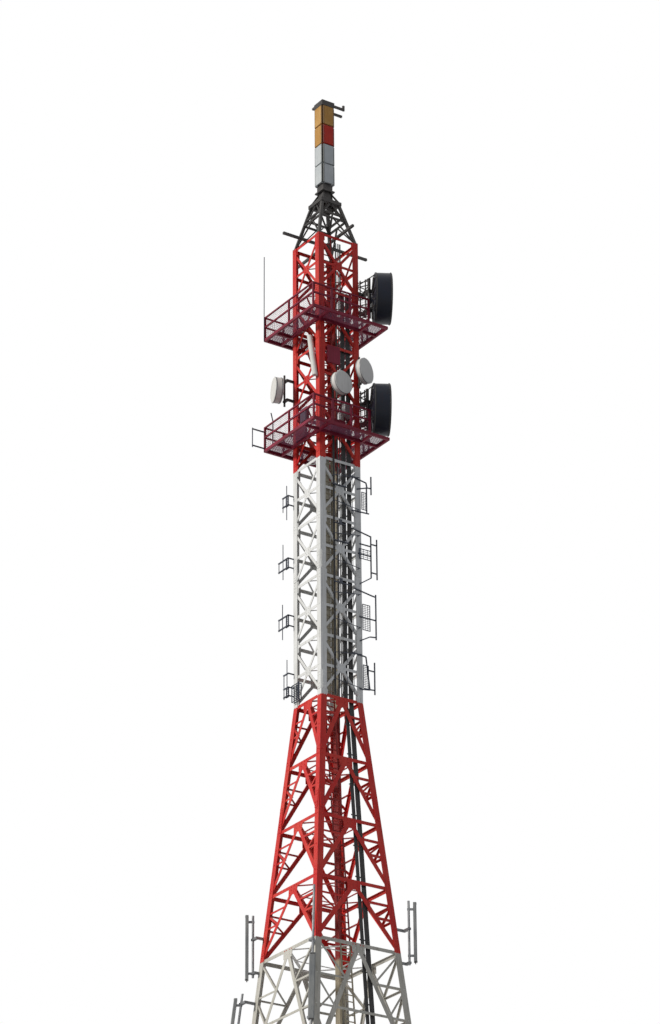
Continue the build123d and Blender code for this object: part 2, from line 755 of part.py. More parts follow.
# each: rod's y, low and high, end rod's y, low and high, and the arms' heights
left_rods = ((590, 21980, 22834, 743, 22218, 22595, (22330, 22560)),
             (745, 20551, 21418, 911, 20763, 21030, (20775, 21000)),
             (767, 19091, 19945, 911, 19339, 19640, (19350, 19600)),
             (587, 17821, 18541, 710, 17626, 18224, (17660, 17860, 18190)))
# bars of the flat frames, as (x, z) ends
frame_bars = (((226, 22882), (689, 22804)), ((689, 22804), (714, 22685)), ((440, 22587), (714, 22685)),
              ((714, 22685), (825, 22700)), ((825, 22538), (825, 22993)), ((700, 22700), (700, 22030)),
              ((298, 22024), (760, 22045)),
              ((293, 21574), (807, 21483)), ((800, 21490), (800, 20466)), ((800, 20466), (490, 20250)),
              ((500, 21240), (812, 21240)), ((450, 20994), (800, 20994)), ((800, 21300), (960, 21300)),
              ((800, 20600), (960, 20600)), ((960, 20457), (960, 21451)),
              ((330, 20106), (814, 20030)), ((814, 20030), (914, 20020)), ((914, 20081), (914, 18981)),
              ((480, 18863), (746, 19016)), ((746, 19016), (914, 19040)), ((470, 19450), (914, 19450)),
              ((259, 18539), (632, 18506)), ((632, 18506), (728, 17738)), ((470, 17700), (728, 17738)),
              ((690, 18200), (860, 18200)), ((728, 17745), (860, 17760)), ((860, 17650), (860, 18420)),
              ((-234, 22560), (172, 22560)), ((-188, 21605), (135, 21605)),
              ((-192, 21170), (211, 21170)), ((-200, 20150), (227, 20150)))
# blocks that hold the short bars to the face, as (x, z, x, z) boxes
frame_blocks = ((-120, 22548, 120, 22572), (-40, 21593, 40, 21720), (-146, 21158, 150, 21182),
                (-40, 20138, 40, 20272))
side_panels = ((548, 22099, 700, 22540), (470, 20869, 800, 21119), (541, 19137, 747, 19767),
               (540, 17730, 690, 18300))
face_plane = Plane(origin=(0, -shaft_edge, 0), x_dir=(1, 0, 0), z_dir=(0, -1, 0))
with BuildPart() as side_aerials:
    for rod_y, low, high, end_y, end_low, end_high, arms in left_rods:
        add(post(side_line, rod_y, side_rod, low, high))
        add(post(side_line, end_y, side_rod, end_low, end_high))
        for z in arms:
            add(bracket((-1, 1), (side_line, end_y, side_rod), z, z + side_arm, shaft_edge, side_arm))
    with BuildSketch(face_plane):
        for a, b in frame_bars:
            fill(strip(a, b, side_arm))
    extrude(amount=side_arm)
    with BuildSketch(face_plane.offset(-leg_thick)):
        for x0, z0, x1, z1 in frame_blocks:
            fill_box(x0, z0, x1, z1)
    extrude(amount=leg_thick)
finish(side_aerials.part, "side_aerials")

# Grey panels of the side aerials, a box at the mast's foot and one above the lower platform's left side
with BuildPart() as grey_panels:
    with BuildSketch(face_plane.offset(side_arm)):
        for x0, z0, x1, z1 in side_panels:
            fill_box(x0, z0, x1, z1)
    extrude(amount=side_plate)
    plate_x = side_line + side_rod + 6
    for _, _, _, end_y, _, _, arms in left_rods:
        with BuildSketch(Plane.XY.offset(arms[0] - 10)):
            fill_box(plate_x, shaft_edge, plate_x + side_plate, shaft_edge + 110)
        extrude(amount=arms[1] - arms[0] + side_arm + 20)
    with BuildSketch(Plane.XY.offset(17503)):
        fill_box(-shaft_edge - 90, 227, -shaft_edge, 515)
    extrude(amount=400)
    with BuildSketch(Plane.XY.offset(24240)):
        fill_box(-628, -100, -(shaft_edge - leg_thick), 150)
    extrude(amount=360)
finish(grey_panels.part, "grey_panels")

# Red cabinets: one on each of two sides of the lower platform and a plate under the upper one
floor_top = lower_deck + floor_thick
with BuildPart() as cabinets:
    with BuildSketch(Plane.XY.offset(floor_top)):
        fill_box(-309, -650, 98, -570)
    extrude(amount=300)
    with BuildSketch(Plane.XY.offset(floor_top)):
        fill_box(-628, -60, -565, 330)
    extrude(amount=370)
    with BuildSketch(Plane.XY.offset(25620)):
        fill_box(-330, -(shaft_edge + 30), 0, -(shaft_edge - leg_thick))
    extrude(amount=440)
finish(cabinets.part, "cabinets")
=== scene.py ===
"""Looks of a half-size lattice tower: paint, zinc, covers, fastenings and fine metalwork round the CAD frame.

Metres, +Z up. The tower's axis stands AXIS from the front left footing along both +X and +Y, and the places
of pieces below are from that axis."""
from math import atan, cos, pi, radians, sin

import bpy
from mathutils import Matrix, Vector


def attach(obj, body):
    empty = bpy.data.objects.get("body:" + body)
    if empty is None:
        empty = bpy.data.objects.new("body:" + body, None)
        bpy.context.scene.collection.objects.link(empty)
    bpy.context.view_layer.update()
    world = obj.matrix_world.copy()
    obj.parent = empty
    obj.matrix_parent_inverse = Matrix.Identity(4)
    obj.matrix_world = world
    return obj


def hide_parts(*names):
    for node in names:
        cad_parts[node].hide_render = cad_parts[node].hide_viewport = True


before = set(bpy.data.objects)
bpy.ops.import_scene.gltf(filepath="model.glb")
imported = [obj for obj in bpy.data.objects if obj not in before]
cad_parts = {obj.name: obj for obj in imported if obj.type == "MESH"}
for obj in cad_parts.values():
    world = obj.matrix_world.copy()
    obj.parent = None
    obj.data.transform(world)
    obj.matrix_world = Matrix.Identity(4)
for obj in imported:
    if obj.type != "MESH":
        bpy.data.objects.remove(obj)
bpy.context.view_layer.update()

# The tower's driving sizes: half sides of mast and foot, the bay, the legs' angle bars, the lips of its bars,
# and the platforms
AXIS = 2.070
MAST_HALF = 0.550
BASE_HALF = 2.145
KNEE = 17.376
BAY = 1.448
BAND = 4 * BAY
WHITE_TOP = 16 * BAY
MAST_TOP = 20 * BAY
SLOPE = (BASE_HALF - MAST_HALF) / KNEE
LEG_THICK = 0.016
LEG_FLANGE = 0.150
LIP = 0.046
DECKS = {"upper": 26.720, "lower": 23.850}
DECK_HALF = 1.035
TURNS = (0, 90, 180, 270)

TOWER_AXIS = Vector((AXIS, AXIS, 0))
X_WAY, Y_WAY, UP = Vector((1, 0, 0)), Vector((0, 1, 0)), Vector((0, 0, 1))


def half_side(z):
    """half the tower's width at the height z"""
    return MAST_HALF + max(0.0, KNEE - z) * SLOPE


def turned(turn):
    return Matrix.Rotation(radians(turn), 3, "Z")


# Finishes

def linear(code):
    """an sRGB hex colour as linear RGBA"""
    parts = [int(code[i:i + 2], 16) / 255 for i in (1, 3, 5)]
    return (*[c / 12.92 if c <= 0.04045 else ((c + 0.055) / 1.055) ** 2.4 for c in parts], 1.0)


def add(tree, kind, settings=None, links=None):
    """a node with its settings, which are its own or its inputs', and its inputs linked"""
    node = tree.nodes.new(kind)
    for key, value in (settings or {}).items():
        if isinstance(key, str) and hasattr(node, key):
            setattr(node, key, value)
        else:
            node.inputs[key].default_value = value
    for key, socket in (links or {}).items():
        tree.links.new(socket, node.inputs[key])
    return node


def start_finish(name):
    """a material with nothing but its shader, and the place in metres on the object"""
    material = bpy.data.materials.new(name)
    material.use_nodes = True
    tree = material.node_tree
    tree.nodes.clear()
    shader = add(tree, "ShaderNodeBsdfPrincipled")
    add(tree, "ShaderNodeOutputMaterial", None, {"Surface": shader.outputs[0]})
    return material, tree, shader, add(tree, "ShaderNodeTexCoord").outputs["Object"]


def end_finish(tree, shader, colour, rough, bump):
    """the shader with its colour, roughness and bumps linked"""
    tree.links.new(colour, shader.inputs["Base Color"])
    tree.links.new(rough, shader.inputs["Roughness"])
    tree.links.new(bump, shader.inputs["Normal"])


# Sizes of the finishes' patterns, and waves in a metre across and up for streaks and runs. Brush marks and
# printed fibres are coarser than real ones, so that they show.
MM = 0.001
CHALK_PATCH = 600 * MM
STREAK = (1 / (30 * MM), 1 / (30 * MM), 1 / (800 * MM))
RUST_SPOT = 50 * MM
BRUSH_MARK = 4 * MM
SPANGLE = 12 * MM
DULL_CLOUD = 180 * MM
FADED_PATCH = 350 * MM
DUST_AND_REFLECTION_RUN = (1 / (20 * MM), 1 / (20 * MM), 1 / (400 * MM))
FIBRE_PRINT = 5 * MM
SCUFF = 90 * MM
JACKET_RING = 8 * MM
# Where the painted-shade gaps between the aerial column's covers and its left cover begin, from the tower's
# axis
GAP_FROM, GAP_TO = 110 * MM, 150 * MM
LEFT_COVER = 152 * MM


def tower_paint(name, paint, chalked, grime, rust, rusting, between=None):
    """Alkyd paint brushed over galvanised angle: semi-gloss, chalked in patches, streaked by run-off, with
    small rust spots where the zinc has gone. between is the colour of every second band up the tower."""
    material, tree, shader, place = start_finish(name)
    patch = add(tree, "ShaderNodeTexNoise", {"Scale": 1 / CHALK_PATCH, "Detail": 5.0}, {"Vector": place})
    patched = add(tree, "ShaderNodeMapRange", {"From Min": 0.38, "From Max": 0.68},
                  {"Value": patch.outputs[0]})
    coat = add(tree, "ShaderNodeMix", {"data_type": "RGBA", 6: linear(paint), 7: linear(chalked)},
               {0: patched.outputs[0]})
    if between:
        height = add(tree, "ShaderNodeSeparateXYZ", None, {0: place})
        band = add(tree, "ShaderNodeMath", {"operation": "DIVIDE", 1: BAND}, {0: height.outputs[2]})
        band = add(tree, "ShaderNodeMath", {"operation": "FLOOR"}, {0: band.outputs[0]})
        odd = add(tree, "ShaderNodeMath", {"operation": "MODULO", 1: 2.0}, {0: band.outputs[0]})
        coat = add(tree, "ShaderNodeMix", {"data_type": "RGBA", 7: linear(between)},
                   {0: odd.outputs[0], 6: coat.outputs[2]})
    fall = add(tree, "ShaderNodeMapping", {"Scale": STREAK}, {"Vector": place})
    streak = add(tree, "ShaderNodeTexNoise", {"Scale": 1.0, "Detail": 4.0}, {"Vector": fall.outputs[0]})
    streaked = add(tree, "ShaderNodeMapRange", {"From Min": 0.5, "From Max": 0.78, "To Max": 0.55},
                   {"Value": streak.outputs[0]})
    dirty = add(tree, "ShaderNodeMix", {"data_type": "RGBA", 7: linear(grime)},
                {0: streaked.outputs[0], 6: coat.outputs[2]})
    spot = add(tree, "ShaderNodeTexNoise", {"Scale": 1 / RUST_SPOT, "Detail": 6.0, "Roughness": 0.7},
               {"Vector": place})
    spotted = add(tree, "ShaderNodeMapRange", {"From Min": rusting, "From Max": rusting + 0.07},
                  {"Value": spot.outputs[0]})
    worn = add(tree, "ShaderNodeMix", {"data_type": "RGBA", 7: linear(rust)},
               {0: spotted.outputs[0], 6: dirty.outputs[2]})
    peel = add(tree, "ShaderNodeTexNoise", {"Scale": 1 / BRUSH_MARK, "Detail": 2.0}, {"Vector": place})
    bump = add(tree, "ShaderNodeBump", {"Strength": 0.25, "Distance": 0.0008}, {"Height": peel.outputs[0]})
    rough = add(tree, "ShaderNodeMapRange", {"To Min": 0.38, "To Max": 0.62}, {"Value": patch.outputs[0]})
    end_finish(tree, shader, worn.outputs[2], rough.outputs[0], bump.outputs[0])
    shader.inputs["IOR"].default_value = 1.5
    shader.inputs["Specular IOR Level"].default_value = 0.2
    return material


def galvanised_steel(name, zinc, dull, metallic, rough_low, rough_high):
    """Hot-dip galvanised steel left bare: a spangle of small crystals, dulled to grey by weather."""
    material, tree, shader, place = start_finish(name)
    spangle = add(tree, "ShaderNodeTexVoronoi", {"Scale": 1 / SPANGLE}, {"Vector": place})
    shade = add(tree, "ShaderNodeSeparateColor", None, {0: spangle.outputs["Color"]})
    cloud = add(tree, "ShaderNodeTexNoise", {"Scale": 1 / DULL_CLOUD, "Detail": 5.0}, {"Vector": place})
    mixed = add(tree, "ShaderNodeMath", {"operation": "MULTIPLY_ADD", 1: 0.35},
                {0: shade.outputs[0], 2: cloud.outputs[0]})
    share = add(tree, "ShaderNodeMapRange", {"From Min": 0.4, "From Max": 0.95}, {"Value": mixed.outputs[0]})
    colour = add(tree, "ShaderNodeMix", {"data_type": "RGBA", 6: linear(zinc), 7: linear(dull)},
                 {0: share.outputs[0]})
    rough = add(tree, "ShaderNodeMapRange", {"To Min": rough_low, "To Max": rough_high},
                {"Value": cloud.outputs[0]})
    bump = add(tree, "ShaderNodeBump", {"Strength": 0.15, "Distance": 0.0005}, {"Height": shade.outputs[0]})
    end_finish(tree, shader, colour.outputs[2], rough.outputs[0], bump.outputs[0])
    shader.inputs["Metallic"].default_value = metallic
    return material


def glass_fibre(name, gelcoat, weathered, dust_and_reflection, rough_low, rough_high, corners=None, left=None):
    """Glass-fibre reinforced polyester with a gel coat: satin, faded and dusted in long runs, which on the
    drum shrouds are a painted reflection of the red tower, with the fibres printed through. On the aerial
    column, corners is the colour of painted shade in the gaps between covers, and left that of the cover on
    the left side, where it differs."""
    material, tree, shader, place = start_finish(name)
    fade = add(tree, "ShaderNodeTexNoise", {"Scale": 1 / FADED_PATCH, "Detail": 4.0}, {"Vector": place})
    faded = add(tree, "ShaderNodeMapRange", {"From Min": 0.35, "From Max": 0.7}, {"Value": fade.outputs[0]})
    coat = add(tree, "ShaderNodeMix", {"data_type": "RGBA", 6: linear(gelcoat), 7: linear(weathered)},
               {0: faded.outputs[0]})
    spot = add(tree, "ShaderNodeSeparateXYZ", None, {0: place})
    if left:
        on_left = add(tree, "ShaderNodeMath", {"operation": "LESS_THAN", 1: AXIS - LEFT_COVER},
                      {0: spot.outputs[0]})
        coat = add(tree, "ShaderNodeMix", {"data_type": "RGBA", 7: linear(left)},
                   {0: on_left.outputs[0], 6: coat.outputs[2]})
    fall = add(tree, "ShaderNodeMapping", {"Scale": DUST_AND_REFLECTION_RUN}, {"Vector": place})
    run = add(tree, "ShaderNodeTexNoise", {"Scale": 1.0, "Detail": 4.0}, {"Vector": fall.outputs[0]})
    dust_and_reflection_share = add(tree, "ShaderNodeMapRange", {"From Min": 0.5, "From Max": 0.8, "To Max": 0.4},
                {"Value": run.outputs[0]})
    colour = add(tree, "ShaderNodeMix", {"data_type": "RGBA", 7: linear(dust_and_reflection)},
                 {0: dust_and_reflection_share.outputs[0], 6: coat.outputs[2]})
    if corners:
        from_axis = []
        for k in (0, 1):
            off = add(tree, "ShaderNodeMath", {"operation": "SUBTRACT", 1: AXIS}, {0: spot.outputs[k]})
            from_axis.append(add(tree, "ShaderNodeMath", {"operation": "ABSOLUTE"}, {0: off.outputs[0]}))
        nearer = add(tree, "ShaderNodeMath", {"operation": "MINIMUM"},
                     {0: from_axis[0].outputs[0], 1: from_axis[1].outputs[0]})
        gap_shade_share = add(tree, "ShaderNodeMapRange", {"From Min": GAP_FROM, "From Max": GAP_TO, "To Max": 0.85},
                     {"Value": nearer.outputs[0]})
        colour = add(tree, "ShaderNodeMix", {"data_type": "RGBA", 7: linear(corners)},
                     {0: gap_shade_share.outputs[0], 6: colour.outputs[2]})
    fibres = add(tree, "ShaderNodeTexNoise", {"Scale": 1 / FIBRE_PRINT, "Detail": 3.0}, {"Vector": place})
    bump = add(tree, "ShaderNodeBump", {"Strength": 0.12, "Distance": 0.0006}, {"Height": fibres.outputs[0]})
    rough = add(tree, "ShaderNodeMapRange", {"To Min": rough_low, "To Max": rough_high},
                {"Value": fade.outputs[0]})
    end_finish(tree, shader, colour.outputs[2], rough.outputs[0], bump.outputs[0])
    shader.inputs["IOR"].default_value = 1.55
    shader.inputs["Specular IOR Level"].default_value = 0.15
    return material


def cable_jacket(name, black, scuffed):
    """Extruded polyethylene jacket over corrugated copper: black, ringed by it, with chalky scuffs."""
    material, tree, shader, place = start_finish(name)
    scuff = add(tree, "ShaderNodeTexNoise", {"Scale": 1 / SCUFF, "Detail": 6.0}, {"Vector": place})
    share = add(tree, "ShaderNodeMapRange", {"From Min": 0.45, "From Max": 0.75}, {"Value": scuff.outputs[0]})
    colour = add(tree, "ShaderNodeMix", {"data_type": "RGBA", 6: linear(black), 7: linear(scuffed)},
                 {0: share.outputs[0]})
    # at a scale of 1 a wave texture has 20 waves in 2 pi metres
    ring = add(tree, "ShaderNodeTexWave", {"bands_direction": "Z", "Scale": 2 * pi / 20 / JACKET_RING},
               {"Vector": place})
    bump = add(tree, "ShaderNodeBump", {"Strength": 0.3, "Distance": 0.001}, {"Height": ring.outputs[1]})
    rough = add(tree, "ShaderNodeMapRange", {"To Min": 0.4, "To Max": 0.65}, {"Value": scuff.outputs[0]})
    end_finish(tree, shader, colour.outputs[2], rough.outputs[0], bump.outputs[0])
    shader.inputs["IOR"].default_value = 1.51
    return material


RED_RUST, WHITE_RUST = "#552618", "#7C5236"
OCHRE = "#B98A45"

# Paint of the bands: greyer on the lower white one, as painted shade; wine red on the decks, a darker red
# that paints their shade; pinkish on the floors, and in bands of dull red and tan on the ladder, riser and
# tray covers
red_paint = tower_paint("red_alkyd_paint", "#C62A28", "#CE443A", "#641418", RED_RUST, 0.70)
white_paint = tower_paint("white_alkyd_paint", "#DADBD9", "#E6E7E6", "#98968C", WHITE_RUST, 0.70)
# painted shade: the lower white band's paint is a greyer copy of the white
shaded_white_paint = tower_paint("shaded_white_alkyd_paint", "#B5B3AA", "#C6C4BC", "#7F7B6D", WHITE_RUST, 0.69)
# painted shade: a darker copy of the red for the decks, railings and cabinets, which stand in shade
deck_shade_paint = tower_paint("deck_shaded_alkyd_paint", "#74142A", "#8A2C42", "#360C1C", RED_RUST, 0.69)
floor_paint = tower_paint("floor_alkyd_paint", "#7A4860", "#94667C", "#4A2638", RED_RUST, 0.69)
ladder_paint = tower_paint("banded_alkyd_paint", "#7C1A1C", "#97302C", "#3E0E12", RED_RUST, 0.68, "#A9A08A")
plate_paint = tower_paint("cover_alkyd_paint", "#8E1C1C", "#A03430", "#46100F", RED_RUST, 0.69, "#A6A08F")
# Zinc: dull grey; weathered zinc darkened almost to black, as painted shade, on the spire, column, mounts and
# stays; and bluish on thin rods
zinc = galvanised_steel("galvanised_steel", "#8B8D8E", "#63656A", 0.55, 0.45, 0.65)
# painted shade: this near-black zinc stands for the shade on parts seen dark against the bright sky
shade_dark_zinc = galvanised_steel("weathered_shade_dark_zinc", "#3E3B39", "#222021", 0.25, 0.5, 0.75)
aerial_zinc = galvanised_steel("aerial_rod_zinc", "#3C4250", "#23262F", 0.25, 0.45, 0.65)
# Gel coats: nearly black shrouds, white dish covers, satin covers of the column, greys of the smaller aerials
# painted reflection: the shrouds' dark red runs stand for the red tower reflected in them
drum_cover = glass_fibre("drum_shroud_gelcoat", "#10151F", "#171D2A", "#2A1519", 0.32, 0.5)
dish_cover = glass_fibre("dish_cover_gelcoat", "#D6D5D0", "#E0DFDB", "#A8A59C", 0.45, 0.6)
# painted shade: the last colour of each of these three covers darkens the gaps between them
white_cover = glass_fibre("white_panel_gelcoat", "#BCC2C4", "#C9CDCE", "#8F9391", 0.35, 0.5, "#34352E")
red_cover = glass_fibre("red_panel_gelcoat", "#B8231A", "#C43A26", "#6E1812", 0.35, 0.5, "#2E100C", OCHRE)
ochre_cover = glass_fibre("ochre_panel_gelcoat", OCHRE, "#C9A061", "#80592A", 0.35, 0.5, "#3C2814")
sector_cover = glass_fibre("sector_panel_gelcoat", "#75787A", "#8A8C8B", "#4A4C4C", 0.4, 0.55)
grille_cover = glass_fibre("grille_panel_gelcoat", "#2E3644", "#3E4757", "#22262E", 0.4, 0.6)
# Black cables
jacket = cable_jacket("cable_polyethylene", "#141416", "#2B2A2B")

NODES_OF = ((zinc, ("footings", "sector_poles")),
            (shade_dark_zinc, ("spire", "neck", "outriggers", "lamp_arms", "aerial_core", "dish_mounts")),
            (aerial_zinc, ("whip_aerials", "side_aerials")),
            (ochre_cover, ("ochre_panels",)),
            (red_cover, ("red_panels",)),
            (white_cover, ("white_panels",)),
            (drum_cover, ("upper_drum", "lower_drum")),
            (dish_cover, ("left_dish", "middle_dish", "right_dish", "slanted_tube")),
            (sector_cover, ("small_dish", "sector_panels")),
            (grille_cover, ("grey_panels",)),
            (ladder_paint, ("ladder", "riser_tray", "riser_cables")),
            (jacket, ("feeder_cables",)),
            (deck_shade_paint, ("cabinets", "upper_deck", "lower_deck", "upper_railing", "lower_railing")),
            (floor_paint, ("upper_floor", "lower_floor")))
FINISH_OF = {node: finish for finish, nodes in NODES_OF for node in nodes}


def finish_of(node):
    """the node's own finish, or the paint of its band: lower_ nodes take the greyer white, painted shade on
    the lower band
    """
    if node in FINISH_OF:
        return FINISH_OF[node]
    if node.startswith("lower_"):
        return shaded_white_paint
    return white_paint if node.startswith("white_") else red_paint


for node_name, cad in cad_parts.items():
    cad.data.materials.clear()
    cad.data.materials.append(finish_of(node_name))


# Shapes: a shape is a list of points and a list of faces

def put(shape, points, faces):
    """the points and faces added to the shape"""
    start = len(shape[0])
    shape[0].extend(points)
    shape[1].extend([tuple(start + i for i in face) for face in faces])


def frame_at(normal):
    """two directions square to normal and to each other, the second as near up as it can be"""
    normal = Vector(normal).normalized()
    side = UP.cross(normal)
    if side.length < 1e-6:
        side = Vector((1, 0, 0))
    side.normalize()
    return side, normal.cross(side), normal


# Bevel of a block as a share of its least side, profile of a bolt's head and washer as shares of its width
# and height, and the angle in degrees below which an edge is shaded smooth
EDGE_CUT = 0.18
BOLT_HEAD = ((0, 0), (0.75, 0), (0.75, 0.2), (0.56, 0.2), (0.56, 0.85), (0.46, 1), (0, 1))
SMOOTH = 40


def block(shape, centre, side, up, normal, wide, high, deep):
    """a slab wide by high whose back lies on centre and whose bevelled front is deep along normal"""
    centre = Vector(centre)
    corners = [(-1, -1), (1, -1), (1, 1), (-1, 1)]
    cut = min(wide, high, deep) * EDGE_CUT
    points = []
    for depth, inset in ((0, 0), (deep - cut, 0), (deep, cut)):
        for a, b in corners:
            across, rise = a * (wide / 2 - inset), b * (high / 2 - inset)
            points.append(centre + side * across + up * rise + normal * depth)
    faces = [(3, 2, 1, 0), (8, 9, 10, 11)]
    for ring in (0, 4):
        faces += [(ring + k, ring + (k + 1) % 4, ring + 4 + (k + 1) % 4, ring + 4 + k) for k in range(4)]
    put(shape, points, faces)


def turn_form(shape, origin, axis, profile, sides):
    """a profile of (radius, height) turned about axis"""
    side, up, way = frame_at(axis)
    origin = Vector(origin)
    points, rings, faces = [], [], []
    for radius, height in profile:
        if radius == 0:
            rings.append([len(points)] * sides)
            points.append(origin + way * height)
            continue
        rings.append([len(points) + k for k in range(sides)])
        for k in range(sides):
            t = 2 * pi * k / sides
            points.append(origin + way * height + side * (radius * cos(t)) + up * (radius * sin(t)))
    for low, high in zip(rings, rings[1:]):
        for k in range(sides):
            n = (k + 1) % sides
            face = [low[k], low[n], high[n], high[k]]
            faces.append(tuple(dict.fromkeys(face)))
    put(shape, points, [f for f in faces if len(f) > 2])


def rod(shape, a, b, radius, sides=8):
    """a round bar from a to b"""
    a, b = Vector(a), Vector(b)
    turn_form(shape, a, b - a, ((0, 0), (radius, 0), (radius, (b - a).length), (0, (b - a).length)), sides)


def hex_bolt(shape, spot, normal, across=0.018, high=0.009):
    """a hexagon head on a washer"""
    turn_form(shape, spot, normal, [(across * a, high * b) for a, b in BOLT_HEAD], 6)


def make(name, shape, material, smooth=None):
    """the shape as a piece that rides on the tower"""
    mesh = bpy.data.meshes.new(name)
    mesh.from_pydata([tuple(p) for p in shape[0]], [], shape[1])
    mesh.update()
    if smooth:
        mesh.shade_smooth()
        mesh.set_sharp_from_angle(angle=radians(smooth))
    piece = bpy.data.objects.new(name, mesh)
    bpy.context.scene.collection.objects.link(piece)
    mesh.materials.append(material)
    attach(piece, "root")
    return piece


def off_axis(x, y, z):
    """the point at x and y from the tower's axis"""
    return Vector((AXIS + x, AXIS + y, z))


def on_side(turn, across, z, inset=0.0):
    """a point on one flat side of the tower at the height z, inset from the legs' outer face, with the
    directions across, up and out"""
    lean = atan(SLOPE) if z < KNEE else 0.0
    spin = turned(turn)
    out = Vector((0, -cos(lean), sin(lean)))
    up = Vector((0, sin(lean), cos(lean)))
    point = Vector((across, -half_side(z), z)) - out * inset
    return spin @ point + TOWER_AXIS, spin @ X_WAY, spin @ up, spin @ out


# Bolts and splice plates of the tower, one piece for each colour
BANDS = ((0, BAND, "red"), (BAND, 8 * BAY, "white"), (8 * BAY, KNEE, "red"), (KNEE, WHITE_TOP, "white"),
         (WHITE_TOP, MAST_TOP, "red"))
TOWER_PAINTS = (("red", red_paint), ("white", white_paint))
bolts = {"red": ([], []), "white": ([], [])}
splices = {"red": ([], []), "white": ([], [])}


def colour_at(z):
    """the colour of the band at the height z"""
    return next((colour for low, high, colour in BANDS if low <= z < high), "red")


def bolt_sides(across, z, inset=0.0):
    """a bolt on both halves of each of the four sides"""
    for turn in TURNS:
        for s in (-1, 1):
            spot, _, _, out = on_side(turn, s * across, z, inset)
            hex_bolt(bolts[colour_at(z)], spot, out)


# Two bolts hold a strut to the leg, this far in from the corner, with one leg bolt above and one below
STRUT_BOLTS = (0.045, 0.105)
LEG_BOLT, LEG_BOLT_RISE = 0.050, 0.075
TOP_EDGE = 0.020
# (across, rise) of the bolts of a crossing's gusset in the mast, of a panel's diagonal at its foot and of the
# gusset at its top
CROSSING_BOLTS = ((0.07, 0), (0.045, 0.045), (0.045, -0.045), (0.085, 0.085), (0.085, -0.085))
DIAGONAL_BOLTS = ((0.05, 0.03), (0.10, 0.05), (0.05, 0.11))
GUSSET_BOLTS = ((0.06, 0.0), (0.13, 0.0), (0.07, -0.08), (0.12, -0.13))
# Where the stiffening bars of a panel meet its leg, as shares of its height down from the top
SHORT_PANEL_BARS, TALL_PANEL_BARS = (0.27, 0.5), (0.28, 0.52, 0.76)
BAR_BOLT = 0.060
PANEL_FOOT = 0.95
MAST_BAYS = range(12, 20)
# (top, height) of the foot's panels: four of two bays and four of one
PANELS = [(2 * BAY * (k + 1), 2 * BAY) for k in range(4)] + [(8 * BAY + BAY * (k + 1), BAY) for k in range(4)]


def bolt_mast():
    for k in MAST_BAYS:
        low = k * BAY
        for rise in (BAY / 2, BAY):
            z = min(low + rise, MAST_TOP - TOP_EDGE)
            for inward in STRUT_BOLTS:
                bolt_sides(MAST_HALF - inward, z)
            for shift in (-LEG_BOLT_RISE, LEG_BOLT_RISE):
                if rise == BAY and z + shift < MAST_TOP:
                    bolt_sides(MAST_HALF - LEG_BOLT, z + shift)
        for across, rise in CROSSING_BOLTS:
            bolt_sides(across, low + BAY / 2 + rise, LEG_THICK)


def bolt_foot():
    for top, panel in PANELS:
        for inward in STRUT_BOLTS:
            bolt_sides(half_side(top) - inward, top)
        foot_z = top - panel * PANEL_FOOT
        for inward, rise in DIAGONAL_BOLTS:
            bolt_sides(half_side(foot_z) - inward, foot_z + rise)
        for across, rise in GUSSET_BOLTS:
            bolt_sides(across, top + rise, LEG_THICK)
        for share in (SHORT_PANEL_BARS if panel == BAY else TALL_PANEL_BARS):
            z = top - panel * share
            bolt_sides(half_side(z) - BAR_BOLT, z)


SPLICE_HIGH, SPLICE_WIDE, SPLICE_THICK = 0.44, 0.105, 0.010
SPLICE_OFF_EDGE = 0.004
SPLICE_RISE = 0.36
SPLICE_BOLT_RISES, SPLICE_BOLT_ASIDE = (-0.17, -0.1, 0.1, 0.17), 0.028


def splice_legs():
    """a plate on both flanges of each leg, in every second bay"""
    for level in range(2, 20, 2):
        z = level * BAY + SPLICE_RISE
        colour = colour_at(z)
        for turn in TURNS:
            for s in (-1, 1):
                across = s * (half_side(z) - LEG_FLANGE / 2 - SPLICE_OFF_EDGE)
                spot, side, up, out = on_side(turn, across, z)
                block(splices[colour], spot, side, up, out, SPLICE_WIDE, SPLICE_HIGH, SPLICE_THICK)
                for rise in SPLICE_BOLT_RISES:
                    for aside in (-SPLICE_BOLT_ASIDE, SPLICE_BOLT_ASIDE):
                        hex_bolt(bolts[colour], spot + up * rise + side * aside + out * SPLICE_THICK, out)


bolt_mast()
bolt_foot()
splice_legs()
for colour, paint in TOWER_PAINTS:
    make(f"{colour}_bolts", bolts[colour], paint)
    make(f"{colour}_leg_splices", splices[colour], paint)

# Anchor bolts with washers and nuts in the footings' holes: profiles of (radius, height)
ANCHOR_SPREAD = 0.175
ANCHOR_LIFT, WASHER_RISE, NUT_RISE = 0.002, 0.038, 0.043
ANCHOR = ((0, 0), (0.0155, 0), (0.0155, 0.106), (0.012, 0.110), (0, 0.110))
WASHER = ((0.0155, 0), (0.034, 0), (0.034, 0.005), (0.0155, 0.005))
NUT = ((0.0155, 0), (0.027, 0), (0.0285, 0.003), (0.0285, 0.021), (0.027, 0.024), (0.0155, 0.024))


def anchor_bolts():
    anchors = ([], [])
    for x in (0, 2 * AXIS):
        for y in (0, 2 * AXIS):
            for dx in (-ANCHOR_SPREAD, ANCHOR_SPREAD):
                for dy in (-ANCHOR_SPREAD, ANCHOR_SPREAD):
                    spot = Vector((x + dx, y + dy, ANCHOR_LIFT))
                    turn_form(anchors, spot, UP, ANCHOR, 12)
                    turn_form(anchors, spot + UP * WASHER_RISE, UP, WASHER, 20)
                    turn_form(anchors, spot + UP * NUT_RISE, UP, NUT, 6)
    make("anchor_bolts", anchors, zinc, SMOOTH)


anchor_bolts()

# Expanded metal floors: strands in zigzags that meet in diamonds, with a flat edge bar
MESH_LONG, MESH_SHORT = 0.050, 0.026
STRAND = 0.011
STRAND_INSET = 0.002
FLOOR_THICK = 0.010
FLOOR_HALF, HATCH_HALF = 0.993, 0.560
EDGE_BAR = 0.020


